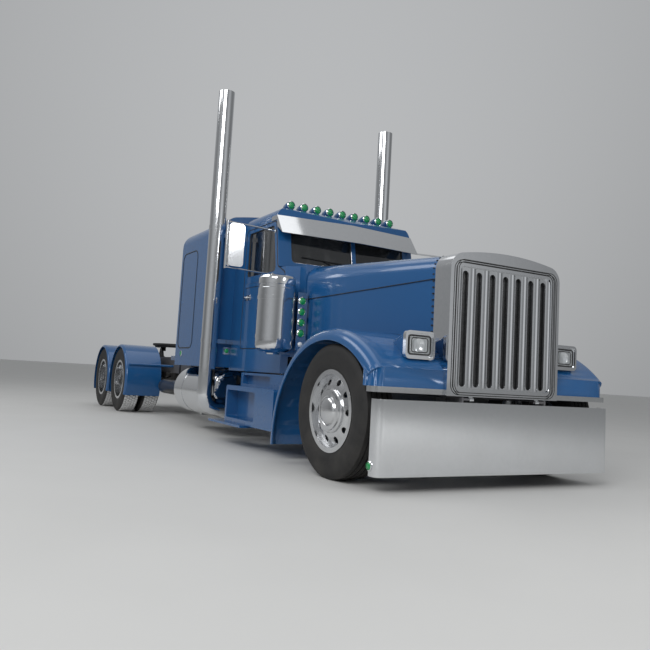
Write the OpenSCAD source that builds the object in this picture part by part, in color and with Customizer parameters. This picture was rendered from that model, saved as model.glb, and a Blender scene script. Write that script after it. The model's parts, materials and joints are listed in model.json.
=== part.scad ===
// Long-nose road tractor unit with sleeper: millimetres, X forward, Y left, Z up.
// All modules are drawn from the front axle line; place() moves them so that the
// origin is the middle of the length on the ground.

/* [Overall] */
// front axle to first drive axle
wheelbase = 7200; // [6400:50:7600]
// first to second drive axle
tandem = 1320; // [1260:10:1400]
// second drive axle to the tail
rear_overhang = 700; // [640:10:900]

/* [Wheels] */
// tyre outer radius
tyre_r = 540; // [520:5:550]
// tyre section width
tyre_w = 285; // [260:5:295]
// rim bead seat radius
rim_r = 311; // [300:1:318]
// wheel centre plane of the single and of the outer twin wheels
track_half = 1082; // [1070:1:1090]
// distance between twin wheel planes
dual_gap = 335; // [325:1:345]
// hand holes in each wheel disc
hand_holes = 10; // [8:1:12]
// spindle radius
spindle_r = 45; // [40:1:50]

/* [Frame] */
// rail outer face
rail_y = 432; // [420:1:440]
// rail height
rail_h = 270; // [250:5:280]
// rail top
rail_top = 970; // [960:5:980]
// rail flange
rail_flange = 90; // [80:5:100]
// rail sheet
rail_t = 10; // [8:1:14]

/* [Steering] */
// kingpin distance from the middle
kingpin_y = 880; // [870:1:890]
// kingpin radius
kingpin_r = 22; // [18:1:26]
// steering arm length
arm_len = 200; // [180:5:220]

/* [Bumper] */
// bumper front face ahead of the axle
bumper_x = 710; // [700:5:740]
// bumper half width
bumper_half = 1215; // [1180:5:1230]
// bumper lower edge
bumper_z0 = 120; // [100:5:200]
// bumper upper edge
bumper_z1 = 675; // [640:5:678]

/* [Hood] */
// grille shell front face
shell_x = 690; // [680:5:700]
// grille shell depth
shell_depth = 190; // [160:5:210]
// grille shell half width
shell_half = 592; // [570:2:610]
// grille shell lower edge
shell_z0 = 720; // [715:5:740]
// grille shell top
shell_top = 1880; // [1820:5:1900]
// hood rear edge
hood_x1 = -1350; // [-1360:1:-1340]
// hood rear half width
hood_half = 752; // [730:1:760]
// hood rear top
hood_top = 1985; // [1960:5:1990]
// hood lower edge
hood_z0 = 770; // [766:1:780]
// hood sheet
hood_t = 15; // [10:1:20]
// tilt axis ahead of the axle
tilt_x = 690; // [680:5:700]
// tilt axis height
tilt_z = 698; // [694:1:702]

/* [Grille] */
// number of slots
slots = 7; // [5:1:8]
// slot pitch
slot_pitch = 141; // [120:1:145]
// slot width
slot_w = 60; // [40:1:75]
// grille opening half width
grille_half = 496; // [480:2:510]
// grille opening bottom
grille_z0 = 780; // [770:5:820]
// grille opening top
grille_z1 = 1735; // [1600:5:1745]

/* [Front fenders] */
// arch centre behind the axle
arch_x = -58; // [-70:1:-40]
// arch centre height
arch_z = 223; // [200:1:240]
// crown radius
arch_r = 985; // [965:5:1000]
// fender outer face
fender_half = 1245; // [1236:1:1260]
// fender edge radius
fender_edge = 88; // [70:1:100]
// fender sheet
fender_t = 12; // [8:1:14]
// fender front face
fender_x = 650; // [640:2:660]

/* [Headlamps] */
// headlamp centre from the middle
lamp_y = 785; // [770:5:800]
// headlamp centre height
lamp_z = 1092; // [1090:1:1110]
// headlamp width
lamp_w = 280; // [260:5:290]
// headlamp height
lamp_h = 215; // [200:5:220]
// headlamp bezel front
lamp_x = 600; // [590:5:620]

/* [Cab] */
// cab rear wall
cab_x1 = -2990; // [-3000:5:-2980]
// cab half width
cab_half = 890; // [880:5:900]
// cab lower edge
cab_z0 = 810; // [805:5:830]
// cab roof top
cab_top = 2700; // [2660:5:2740]
// cab wall
cab_wall = 60; // [50:5:70]
// windscreen foot at the middle
screen_x = -1650; // [-1660:5:-1640]
// windscreen rake
screen_rake = 11.2; // [8:0.1:14]
// windscreen sweep of each half
screen_sweep = 6.8; // [4:0.1:9]
// screen opening foot
screen_z0 = 2005; // [1995:5:2020]
// screen opening height
screen_h = 435; // [400:5:450]
// width of each windscreen pane
pane_w = 720; // [660:10:740]
// pane centre from the middle
pane_y = 385; // [375:1:390]
// floor underside
floor_z = 985; // [980:1:995]

/* [Doors] */
// door front edge
door_x0 = -1605; // [-1615:1:-1600]
// door rear edge
door_x1 = -2680; // [-2720:5:-2640]
// door lower edge
door_z0 = 1070; // [1050:5:1100]
// door upper edge
door_z1 = 2465; // [2440:5:2480]
// gap round the doors
door_gap = 6; // [5:0.5:8]
// hinge axis stand-off from the cab side
hinge_off = 14; // [12:1:18]

/* [Sleeper] */
// sleeper rear wall
sleeper_x1 = -4600; // [-4700:10:-4500]
// sleeper half width
sleeper_half = 1060; // [1040:2:1070]
// sleeper lower edge
sleeper_z0 = 840; // [820:5:860]
// sleeper roof top
sleeper_top = 2770; // [2720:5:2820]
// sleeper wall
sleeper_wall = 50; // [40:5:60]

/* [Outside gear] */
// exhaust stack from the middle
stack_y = 1180; // [1175:1:1190]
// exhaust stack position
stack_x = -2940; // [-2945:1:-2935]
// exhaust stack radius
stack_r = 98; // [80:1:98]
// exhaust stack top
stack_top = 4200; // [3600:10:4300]
// exhaust cross pipe height
cross_z = 370; // [360:5:400]
// air cleaner position
cleaner_x = -1400; // [-1402:1:-1396]
// air cleaner from the middle
cleaner_y = 1070; // [1060:5:1080]
// air cleaner radius
cleaner_r = 188; // [170:1:190]
// fuel tank radius
tank_r = 310; // [280:5:312]
// fuel tank from the middle
tank_y = 762; // [758:1:768]
// fuel tank centre height
tank_z = 520; // [510:5:530]
// fuel tank front end
tank_x0 = -3080; // [-3100:5:-3075]
// fuel tank length
tank_len = 1480; // [1300:10:1600]
// mirror from the middle
mirror_y = 1386; // [1360:2:1420]
// mirror position
mirror_x = -1800; // [-1830:5:-1780]
// mirror head width
mirror_w = 168; // [140:2:190]

/* [Fifth wheel] */
// fifth wheel ahead of the tandem middle
fifth_lead = 60; // [0:5:120]
// pivot height
fifth_z = 1130; // [1120:5:1150]
// top face above the pivot
fifth_up = 90; // [80:5:110]
// kingpin throat radius
throat_r = 25.8; // [25.5:0.1:26.5]
// pivot pin radius
pivot_r = 20; // [16:1:24]

/* [Hidden] */
$fn = 72;
fit = 0.3;
run = 0.4;
drive1 = -wheelbase;
drive2 = -wheelbase - tandem;
tail_x = drive2 - rear_overhang;
x_mid = (bumper_x + tail_x) / 2;
axle_z = tyre_r;
rail_z0 = rail_top - rail_h;
rail_in = rail_y - rail_flange;
rail_mid = rail_y - rail_flange / 2;
spring_eye = 580;
rail_x0 = spring_eye + 50;
rail_x1 = tail_x + 70;
dual_y = track_half - dual_gap / 2;
bead = 0.40 * tyre_w;
lip = 22;
rim_t = 18;
flange_t = 10;
arm_t = 14;
hood_pin = 10;
bumper_t = 8;
bumper_lip = 30;
gear_x = -2319;
nose_front = 320;
nose_back = 250;
gear_z = 640;
fender_z0 = 766;
strip_z0 = 724;
door_hinges = [1200, 1760];
pillar_x0 = -1790;
pillar_z0 = 1955;
pillar_x1 = -1890;
// points of the roof's front: place, drop below the roof top
roof_line = [[-1740, 175], [-1800, 128], [-1890, 85], [-2010, 45], [-2160, 18], [-2330, -2]];
roof_lamp_x = -2000;
roof_lamp_drop = 6;
roof_lamps = 9;
roof_pitch = 168;
shell_x0 = shell_x - shell_depth;
fifth_x = (drive1 + drive2) / 2 + fifth_lead;
hinge_x = door_x0 + door_gap / 2;
hinge_y = cab_half + hinge_off;
hinge_r = 12;
hinge_pin = 7;
beam_top = axle_z - 65;
spring_z = axle_z - 40;
cowl_half = hood_half + 18;
nose_x = hood_x1 - 5;
belt = 1930;
mirror_z0 = 1870;
mirror_z1 = 2350;
tank_x1 = tank_x0 - tank_len;
arm_z = axle_z - 112;
floor_top = floor_z + 50;
ear_y = 300;
door_shape = [[door_x1, door_z0], [door_x0, door_z0], [door_x0, 1870], [pillar_x0, pillar_z0],
  [pillar_x1, door_z1], [door_x1, door_z1]];
window_shape = [[door_x1 + 62, 1905], [-1835, 1905], [-1940, door_z1 - 42], [door_x1 + 62, door_z1 - 42]];

paint = [0.05, 0.16, 0.45];
chrome = [0.82, 0.84, 0.86];
dark = [0.12, 0.12, 0.13];
rubber = [0.06, 0.06, 0.065];
grey = [0.5, 0.51, 0.53];
glass = [0.08, 0.1, 0.12];
green = [0.1, 0.62, 0.25];
red = [0.7, 0.05, 0.05];

// Helpers
module place() translate([-x_mid, 0, 0]) children();

module both() {
  children();
  mirror([0, 1, 0]) children();
}

module side(s) mirror([0, s < 0 ? 1 : 0, 0]) children();

module x_bar(x0, x1) translate([x0, 0, 0]) rotate([90, 0, 90]) linear_extrude(x1 - x0) children();

module y_bar(y0, y1) translate([0, y1, 0]) rotate([90, 0, 0]) linear_extrude(y1 - y0) children();

module box(x, y, z) translate([x[0], y[0], z[0]]) cube([x[1] - x[0], y[1] - y[0], z[1] - z[0]]);

module rrect(w, h, r) {
  square([w - 2 * r, h], center = true);
  square([w, h - 2 * r], center = true);
  for (i = [-1, 1], j = [-1, 1]) translate([i * (w / 2 - r), j * (h / 2 - r)]) circle(r);
}

module rod(a, b, r) {
  d = b - a;
  translate(a) rotate([0, acos(d[2] / norm(d)), atan2(d[1], d[0])]) cylinder(r = r, h = norm(d));
}

module spin(x, z) translate([x, 0, z]) rotate([90, 0, 0]) children();

// Points of a polygon with every corner rounded
function unit(v) = v / norm(v);
function fillet(p, r, n = 6) = [for (i = [0 : len(p) - 1])
  let (a = p[(i + len(p) - 1) % len(p)], b = p[i], c = p[(i + 1) % len(p)],
    u = unit(a - b), v = unit(c - b), half = acos(u * v) / 2,
    m = b + unit(u + v) * r / sin(half), s = b + u * r / tan(half) - m,
    e = b + v * r / tan(half) - m, t = atan2(s[0] * e[1] - s[1] * e[0], s * e))
  for (k = [0 : n]) let (g = t * k / n)
    m + [s[0] * cos(g) - s[1] * sin(g), s[0] * sin(g) + s[1] * cos(g)]];

// Cross section with upright sides, round shoulders and a gently crowned top
module crown_section(half, z0, top, r) {
  edge = half - r + r * cos(80);
  big = edge / cos(80);
  zc = top - big + (big - r) * sin(80);
  translate([-half, z0]) square([2 * half, zc - z0]);
  for (i = [-1, 1]) translate([i * (half - r), zc]) circle(r);
  intersection() {
    translate([0, top - big]) circle(big, $fn = 360);
    translate([-edge, zc - 1]) square([2 * edge, top - zc + 2]);
  }
}

// Running gear
function tyre_side(s) = [for (i = [0 : 10]) let (t = s > 0 ? -1 + i / 5 : 1 - i / 5)
  [rim_r + lip + (tyre_r - rim_r - lip) * (t + 1) / 2,
   s * (tyre_w / 2 - (t < 0 ? 0.075 * tyre_w * t * t : 0.1 * tyre_w * pow(t, 4)))]];

module tyre_ring() {
  rotate_extrude($fn = 80) polygon(concat([[rim_r + fit, bead], [rim_r + lip, bead]],
    tyre_side(1), tyre_side(-1), [[rim_r + lip, -bead], [rim_r + fit, -bead]]));
}

module barrel(h) {
  seat = bead + fit + flange_t;
  translate([rim_r - rim_t, h - seat]) square([rim_t, 2 * seat]);
  for (s = [-1, 1]) translate([rim_r - rim_t, h + s * (seat - flange_t / 2) - flange_t / 2])
    square([rim_t + lip - 1, flange_t]);
}

module disc_holes(r0, r1) {
  for (i = [0 : hand_holes - 1]) rotate(i * 360 / hand_holes)
    translate([r0, 0, -400]) cylinder(r = r1, h = 800, $fn = 32);
}

module front_rim() {
  disc = [[rim_r - 20, 38], [rim_r - 10, 62], [255, 84], [206, 104], [60, 108], [60, 84], [196, 82],
      [242, 66]];
  difference() {
    rotate_extrude($fn = 80) {
      barrel(0);
      polygon(disc);
      translate([0, -50]) square([92, 180]);
      translate([0, 110]) square([78, 45]);
      translate([0, 140]) square([58, 24]);
      translate([186, -96]) square([16, 186]);
    }
    translate([0, 0, -60]) cylinder(r = spindle_r + run, h = 130);
    disc_holes(236, 26);
  }
}

module rear_rims() {
  web = [[rim_r - 9, 48], [rim_r - 9, 66], [250, 24], [60, 22], [60, -22], [250, -24], [rim_r - 9, -66],
    [rim_r - 9, -48], [244, 0]];
  difference() {
    rotate_extrude($fn = 80) {
      barrel(dual_gap / 2);
      barrel(-dual_gap / 2);
      polygon(web);
      translate([0, -150]) square([104, 290]);
      translate([0, 130]) square([84, 44]);
      translate([0, 150]) square([46, 40]);
      translate([188, -210]) square([16, 190]);
    }
    translate([0, 0, -160]) cylinder(r = spindle_r + run, h = 260);
    disc_holes(222, 24);
  }
}

// Wheel placing: local axis points outboard
module wheel_at(x, y, s) translate([x, s * y, axle_z]) rotate([s > 0 ? -90 : 90, 0, 0]) children();

module tyre_front(s) color(rubber) place() wheel_at(0, track_half, s) tyre_ring();

module rim_front(s) color(chrome) place() wheel_at(0, track_half, s) front_rim();

module tyres_rear(x, s) color(rubber) place() wheel_at(x, dual_y, s)
  for (k = [-1, 1]) translate([0, 0, k * dual_gap / 2]) tyre_ring();

module rims_rear(x, s) color(chrome) place() wheel_at(x, dual_y, s) rear_rims();

module tyre_front_left() tyre_front(1);
module tyre_front_right() tyre_front(-1);
module rim_front_left() rim_front(1);
module rim_front_right() rim_front(-1);
module tyres_rear1_left() tyres_rear(drive1, 1);
module tyres_rear1_right() tyres_rear(drive1, -1);
module tyres_rear2_left() tyres_rear(drive2, 1);
module tyres_rear2_right() tyres_rear(drive2, -1);
module rims_rear1_left() rims_rear(drive1, 1);
module rims_rear1_right() rims_rear(drive1, -1);
module rims_rear2_left() rims_rear(drive2, 1);
module rims_rear2_right() rims_rear(drive2, -1);

// Forked knuckle on the kingpin, with spindle and steering arm
module knuckle(s) color(dark) place() side(s) difference() {
  union() {
    for (z = [axle_z + 62, axle_z - 112]) translate([0, kingpin_y, z]) cylinder(r = 50, h = 50);
    box([-45, 45], [kingpin_y + 52, kingpin_y + 82], [axle_z - 112, axle_z + 112]);
    for (z = [axle_z + 62, axle_z - 112]) box([-45, 45], [kingpin_y, kingpin_y + 60], [z, z + 50]);
    translate([0, kingpin_y + 70, axle_z]) rotate([-90, 0, 0]) cylinder(r = spindle_r,
        h = track_half - kingpin_y - 10);
    box([-arm_len, -20], [kingpin_y - 20, kingpin_y + 20], [arm_z, arm_z + 30]);
    translate([-arm_len, kingpin_y, arm_z - 8]) cylinder(r = 30, h = 38);
    translate([-arm_len, kingpin_y, arm_z - 62]) cylinder(r = 12, h = 60);
  }
  translate([0, kingpin_y, axle_z - 200]) cylinder(r = kingpin_r + run, h = 400);
}

module knuckle_left() knuckle(1);
module knuckle_right() knuckle(-1);

module tie_rod() color(dark) place() difference() {
  union() {
    rod([-arm_len, -kingpin_y + 20, arm_z - 34], [-arm_len, kingpin_y - 20, arm_z - 34], 19);
    for (s = [-1, 1]) translate([-arm_len, s * kingpin_y, arm_z - 54]) cylinder(r = 28, h = 40);
  }
  for (s = [-1, 1]) translate([-arm_len, s * kingpin_y, arm_z - 100]) cylinder(r = 12 + run, h = 120);
}

module front_axle() color(dark) place() {
  top = spring_z;
  difference() {
    x_bar(-45, 45) polygon([[-kingpin_y + 20, axle_z - 50], [-640, axle_z - 50], [-540, top - 100], [540,
        top - 100],
      [640, axle_z - 50], [kingpin_y - 20, axle_z - 50], [kingpin_y - 20, axle_z + 50], [620, axle_z + 50],
      [520, top], [-520, top], [-620, axle_z + 50], [-kingpin_y + 20, axle_z + 50]]);
    for (s = [-1, 1]) translate([s * 50, 0, top - 50]) cube([50, 960, 56], center = true);
  }
  both() {
    translate([0, kingpin_y, axle_z - 60]) cylinder(r = 48, h = 120);
    translate([0, kingpin_y, axle_z - 118]) cylinder(r = kingpin_r, h = 236);
  }
}

// Leaf packs standing on the axle beam and hung from the rails
module front_springs() color(dark) place() both() {
  leaf = 15;
  bend = 2900;
  short = 230;
  half_w = 40;
  eye_z = spring_z + 3 * leaf + 72;
  for (i = [0 : 3]) {
    len = mix(short, spring_eye + 1, i / 3);
    y_bar(rail_mid - half_w, rail_mid + half_w) intersection() {
      translate([0, spring_z + i * leaf + bend]) difference() {
        circle(bend, $fn = 400);
        circle(bend - leaf, $fn = 400);
      }
      translate([-len, spring_z - 50]) square([2 * len, 300]);
    }
  }
  for (x = [-spring_eye, spring_eye]) {
    spin(x, eye_z) translate([0, 0, -rail_mid - half_w]) cylinder(r = 27, h = 2 * half_w);
    for (y = [rail_mid - half_w - 3, rail_mid + half_w - 2]) box([x - 35, x + 35], [y, y + 5],
        [eye_z - 20, rail_z0]);
    box([x - 45, x + 45], [rail_mid - half_w - 3, rail_mid + half_w + 3], [rail_z0 - 14, rail_z0]);
  }
}

module rear_axles() color(dark) place() for (x = [drive1, drive2]) {
  rod([x, -dual_y + 170, axle_z], [x, dual_y - 170, axle_z], 64);
  rod([x, -dual_y - 80, axle_z], [x, dual_y + 80, axle_z], spindle_r);
  translate([x, 0, axle_z]) sphere(r = 185);
  rod([x - nose_back, 0, axle_z], [x + nose_front, 0, axle_z], 78);
  both() box([x - 60, x + 60], [rail_mid - 45, rail_mid + 45], [beam_top, axle_z]);
}

// Trailing beams under the axle seats, with hangers from the rails
module rear_suspension() color(dark) place() for (x = [drive1, drive2]) both() {
  box([x - 430, x + 560], [rail_mid - 40, rail_mid + 40], [beam_top - 60, beam_top]);
  y_bar(rail_mid - 45, rail_mid + 45) polygon([[x + 480, rail_z0], [x + 640, rail_z0], [x + 600,
      beam_top - 80],
    [x + 520, beam_top - 80]]);
  box([x - 430, x - 250], [rail_mid - 80, rail_mid + 80], [beam_top - 16, beam_top]);
  translate([x - 340, rail_mid, beam_top - 1]) rotate_extrude($fn = 48) difference() {
    h = rail_z0 - beam_top + 1;
    square([112, h]);
    translate([150, h * 0.5]) circle(62);
    translate([150, h * 0.02]) circle(52);
  }
}

// Shaft between two flange faces on the same level line ends, with a joint behind each
module shaft(a, b) {
  yoke = [90, 0, 0];
  rod(a, a - yoke, 50);
  rod(b + yoke, b, 50);
  rod(a - yoke, b + yoke, 45);
  for (p = [a - yoke, b + yoke]) translate(p) sphere(r = 58);
}

module driveshafts() color(grey) place() {
  middle = [-4640, 0, 600];
  half = [20, 0, 0];
  shaft([gear_x - fit, 0, gear_z], middle + half);
  shaft(middle - half, [drive1 + nose_front + fit, 0, axle_z]);
  rod(middle - half, middle + half, 50);
  box([middle[0] - 20, middle[0] + 20], [-70, 70], [middle[2], rail_z0]);
  shaft([drive1 - nose_back - fit, 0, axle_z], [drive2 + nose_front + fit, 0, axle_z]);
}

module engine() color(grey) place() {
  box([-1250, 200], [-290, 290], [600, 1480]);
  rod([-1600, 0, 680], [-1240, 0, 680], 200);
  rod([gear_x, 0, gear_z], [-1600, 0, gear_z], 150);
  for (x = [-1050, 60]) both() box([x - 60, x + 60], [280, rail_y], [rail_top, rail_top + 40]);
}

module radiator() color(dark) place() {
  box([390, 460], [-450, 450], [rail_top, 1660]);
  rod([200, 0, 1250], [240, 0, 1250], 60);
  rod([240, 0, 1250], [300, 0, 1250], 330);
  rod([300, 0, 1250], [392, 0, 1250], 60);
}

// Ladder frame: two channels, cross members, cab pads, hood hinge and bumper arms
module frame() color(grey) place() {
  both() {
    difference() {
      box([rail_x1, rail_x0], [rail_in, rail_y], [rail_z0, rail_top]);
      box([rail_x1 - 1, rail_x0 + 1], [rail_in - 1, rail_y - rail_t], [rail_z0 + rail_t, rail_top - rail_t]);
    }
    for (x = [-1560, -2860, -3120, -4480]) box([x - 60, x + 60], [rail_in, rail_y], [rail_top - 1, floor_z]);
    difference() {
      box([rail_x0 - 120, bumper_x - bumper_t], [rail_y - 1, rail_y + arm_t], [480, rail_z0 + 60]);
      translate([rail_x0 - 121, rail_y - 2, 479]) rotate([0, -25, 0]) translate([0, 0, -400]) cube([400,
          20, 400]);
      box([rail_x0 + 1, bumper_x], [rail_y - 2, rail_y + arm_t + 1], [rail_z0 + 14, rail_top]);
      box([bumper_x - bumper_lip - fit, bumper_x], [rail_y - 2, rail_y + arm_t + 1],
        [bumper_z1 - bumper_t - fit, bumper_z1 + fit]);
    }
    spin(tilt_x, tilt_z) translate([0, 0, -rail_y - arm_t]) cylinder(r = hood_pin, h = 118);
    spin(tilt_x, tilt_z) translate([0, 0, -rail_y - arm_t]) cylinder(r = hood_pin + 2, h = 20);
  }
  for (x = [470, -2600, -4640, -6300, (drive1 + drive2) / 2, rail_x1 + 60]) {
    box([x - 6, x + 6], [-rail_y + rail_t - 1, rail_y - rail_t + 1], [rail_z0 + rail_t - 1,
        rail_top - rail_t + 1]);
    for (z = [rail_z0, rail_top - rail_t]) box([x - 40, x + 40], [-rail_in - 1, rail_in + 1], [z,
        z + rail_t]);
  }
}

module bumper() color(chrome) place() {
  r = 55;
  depth = 100;
  mid = bumper_x - 150;
  difference() {
    translate([0, 0, bumper_z0]) linear_extrude(bumper_z1 - bumper_z0) difference() {
      translate([mid, 0]) rrect(300, 2 * bumper_half, r);
      translate([mid, 0]) rrect(300 - 2 * bumper_t, 2 * bumper_half - 2 * bumper_t, r - bumper_t);
    }
    box([bumper_x - 400, bumper_x - depth], [-2000, 2000], [0, 1000]);
  }
  for (z = [bumper_z0, bumper_z1 - bumper_t]) translate([0, 0, z]) linear_extrude(bumper_t) difference() {
    translate([mid, 0]) rrect(300, 2 * bumper_half, r);
    translate([mid - bumper_lip, 0]) square([300, 2 * bumper_half - 2 * r], center = true);
    translate([mid - depth, 0]) square([300, 3 * bumper_half], center = true);
    translate([mid - bumper_lip - 4, 0]) square([300, 2 * bumper_half - 70], center = true);
  }
}

// Hood and what tilts with it
function hood_curve(x) = (shell_x0 - x) / (shell_x0 - hood_x1);
function mix(a, b, t) = a + (b - a) * t;
function hood_side(x) = mix(shell_half - 10, hood_half, hood_curve(x));
function hood_ring(x, in) = let (k = hood_curve(x), w = hood_side(x) - in, r = mix(130, 170, k) - in,
    top = mix(shell_top - 5, hood_top, k) - in, z0 = hood_z0 - (in > 0 ? 20 : 0), zc = mix(1630, 1570, k),
    cx = w + 8 - r, ay = cx + r * cos(80), ze = top - 0.088 * ay - r * sin(80),
    half = concat([[w, z0], [w, zc], [w + 8, zc + 14]],
      [for (g = [0 : 16 : 80]) [cx + r * cos(g), ze + r * sin(g)]],
      [for (q = [0.3, 0.65]) [ay * (1 - q), top - (top - ze - r * sin(80)) * pow(1 - q, 2)]]), n = len(half))
  concat([for (p = half) [x, p[0], p[1]]], [[x, 0, top]], [for (i = [n - 1 : -1 : 0]) [x, -half[i][0],
      half[i][1]]]);

module loft(a, b) {
  n = len(a);
  polyhedron(concat(a, b), concat([[for (i = [n - 1 : -1 : 0]) i]], [[for (i = [0 : n - 1]) n + i]],
    [for (i = [0 : n - 1]) [i, (i + 1) % n, n + (i + 1) % n, n + i]]), convexity = 6);
}

module hood_shape(x0, x1, in) loft(hood_ring(x0, in), hood_ring(x1, in));

module hood() color(paint) place() difference() {
  hood_shape(shell_x0 - fit, hood_x1, 0);
  hood_shape(shell_x0 + 20, hood_x1 - 20, hood_t);
  spin(arch_x, arch_z) translate([0, 0, -1500]) cylinder(r = arch_r + fit, h = 3000, $fn = 180);
}

// Fender shell: crown, rolled outer edge, spun round the arch, with an upright front
module fender_profile() {
  translate([arch_r - fender_t, 500]) square([fender_t, fender_half - fender_edge - 500]);
  intersection() {
    translate([arch_r - fender_edge, fender_half - fender_edge]) difference() {
      circle(fender_edge);
      circle(fender_edge - fender_t);
    }
    translate([arch_r - fender_edge, fender_half - fender_edge]) square(fender_edge + 1);
  }
  translate([arch_r - fender_edge - 12, fender_half - fender_t]) square([13, fender_t]);
}

// Everything inside the fender's outer surface, to be spun round the arch
module fender_fill() {
  square([arch_r - 0.5, fender_half - fender_edge]);
  square([arch_r - fender_edge, fender_half]);
  translate([arch_r - fender_edge, fender_half - fender_edge]) circle(fender_edge - 0.5);
}

module front_fenders() color(paint) place() both() difference() {
  front = acos((fender_x - arch_x - 1) / arch_r);
  corner = 110;
  z1 = arch_z + arch_r * sin(front) + fender_t;
  union() {
    spin(arch_x, arch_z) mirror([0, 0, 1]) rotate([0, 0, front]) rotate_extrude(angle = 184 - front,
        $fn = 180)
      fender_profile();
    intersection() {
      translate([0, 0, fender_z0]) linear_extrude(z1 - fender_z0) difference() {
        translate([fender_x - 200, 0]) rrect(400, 2 * fender_half, corner);
        translate([fender_x - 200 - fender_t, 0]) rrect(400, 2 * (fender_half - fender_t), corner - fender_t);
        translate([fender_x - 300 - 120, 0]) square([600, 3000], center = true);
        translate([fender_x - 500, -3000]) square([1000, 3000]);
      }
      spin(arch_x, arch_z) mirror([0, 0, 1]) rotate_extrude($fn = 180) fender_fill();
    }
  }
  translate([0, 0, -10]) linear_extrude(3000) polygon([[shell_x0, -10], [shell_x0, hood_side(shell_x0) + fit],
    [hood_x1, hood_side(hood_x1) + fit], [hood_x1, -10]]);
  box([shell_x0 - 20, shell_x + 200], [-10, shell_half + fit], [0, 3000]);
}

module grille_shell() color(chrome) place() {
  difference() {
    x_bar(shell_x0, shell_x) crown_section(shell_half, shell_z0, shell_top, 130);
    x_bar(shell_x0 - 1, shell_x - 26) crown_section(shell_half - 18, shell_z0 - 30, shell_top - 18, 112);
    x_bar(shell_x0 - 1, shell_x + 1) translate([0, (grille_z0 + grille_z1) / 2])
      rrect(2 * grille_half, grille_z1 - grille_z0, 40);
  }
  both() difference() {
    union() {
      spin(tilt_x, tilt_z) translate([0, 0, -rail_mid + 16]) cylinder(r = 15, h = 40);
      box([tilt_x - 15, tilt_x], [rail_mid - 56, rail_mid - 16], [tilt_z, shell_z0 + 2]);
    }
    spin(tilt_x, tilt_z) translate([0, 0, -rail_mid]) cylinder(r = hood_pin + run, h = 100);
  }
}

// Grille panel: upright slots between rounded bars
module grille_bars() color(chrome) place() {
  x0 = shell_x - 44;
  rim = 20;
  bar_r = 44;
  high = grille_z1 - grille_z0;
  mid = (grille_z0 + grille_z1) / 2;
  difference() {
    union() {
      x_bar(x0, x0 + 18 - fit) translate([0, mid]) square([2 * (grille_half + rim), high + 2 * rim],
          center = true);
      intersection() {
        for (i = [0 : slots]) translate([x0 - 10, (i - slots / 2) * slot_pitch, grille_z0])
            cylinder(r = bar_r, h = high);
        x_bar(x0 + 2, x0 + 60) translate([0, mid]) rrect(2 * grille_half - 4, high - 16, 40);
      }
    }
    for (i = [0 : slots - 1]) x_bar(x0 - 5, x0 + 80) translate([(i - (slots - 1) / 2) * slot_pitch, mid - 8])
      rrect(slot_w, high - 46, slot_w / 2 - 0.01);
  }
}

module headlamp_pods() color(paint) place() both() difference() {
  hull() {
    x_bar(lamp_x - 45, lamp_x - 36) translate([lamp_y, lamp_z]) rrect(lamp_w - 24, lamp_h - 24, 30, $fn = 32);
    translate([lamp_x - 330, lamp_y, lamp_z - 20]) sphere(r = 62, $fn = 28);
  }
  spin(arch_x, arch_z) translate([0, 0, -1500]) cylinder(r = arch_r + fit, h = 1500, $fn = 180);
}

module headlamp_bezels() color(chrome) place() both() difference() {
  x_bar(lamp_x - 36, lamp_x) translate([lamp_y, lamp_z]) rrect(lamp_w, lamp_h, 38);
  x_bar(lamp_x - 16, lamp_x + 1) translate([lamp_y, lamp_z]) rrect(lamp_w - 36, lamp_h - 36, 26);
  x_bar(lamp_x - 30, lamp_x + 1) translate([lamp_y, lamp_z]) rrect(lamp_w - 64, lamp_h - 64, 18);
  spin(arch_x, arch_z) translate([0, 0, -1500]) cylinder(r = arch_r + fit, h = 1500, $fn = 180);
}

module headlamp_lenses() color(glass) place() both()
  x_bar(lamp_x - 30, lamp_x - 12) translate([lamp_y, lamp_z]) rrect(lamp_w - 64 - 2 * fit,
      lamp_h - 64 - 2 * fit, 17);

module fender_strips() color(chrome) place() both()
  translate([0, 0, strip_z0]) linear_extrude(fender_z0 - strip_z0) difference() {
    translate([fender_x + 14 - 200, 0]) rrect(400, 2 * fender_half, 60);
    translate([fender_x + 14 - 200 - 24, 0]) rrect(400, 2 * fender_half - 44, 40);
    translate([fender_x - 300 - 70, 0]) square([600, 3000], center = true);
    translate([fender_x - 500, -3000]) square([1000, 3000 + shell_half + fit]);
  }

// Cab
module screen_front(x, s) translate([x, 0, belt]) rotate([0, -screen_rake, s * screen_sweep])
  translate([0, -3000, -3000]) cube([3000, 6000, 6000]);

module cab_body(t, z0) {
  translate([0, 0, z0]) linear_extrude(belt - z0) polygon([[nose_x - t, -cowl_half + t], [nose_x - 135,
      -cowl_half + t],
    [nose_x - 235, -cab_half + t], [cab_x1 + t, -cab_half + t], [cab_x1 + t, cab_half - t],
        [nose_x - 235, cab_half - t],
    [nose_x - 135, cowl_half - t], [nose_x - t, cowl_half - t]]);
  x_bar(screen_x - 150, nose_x - t) crown_section(cowl_half - t, z0, hood_top - t, 170 - t);
  difference() {
    intersection() {
      x_bar(cab_x1 + t, -1500) crown_section(cab_half - t, belt - 30, cab_top - t, 130 - t);
      y_bar(-1000, 1000) polygon(concat([[-1500, belt - 40], [-1500, cab_top - 220]],
        [for (p = roof_line) [p[0], cab_top - p[1] - t]], [[cab_x1 + t, cab_top - 6 - t], [cab_x1 + t,
            belt - 40]]));
    }
    for (s = [-1, 1]) screen_front(screen_x - t, s);
  }
}

module pane(g) both() x_bar(-2200, -1300) translate([pane_y, screen_z0 + screen_h / 2])
  rrect(pane_w - 2 * g, screen_h - 2 * g, 45);

module door_hole() {
  grow = [[-1, -1], [1, -1], [1, 1], [1, 1], [1, 1], [-1, 1]];
  polygon(fillet([for (i = [0 : 5]) door_shape[i] + door_gap * grow[i]], 45));
}

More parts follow.
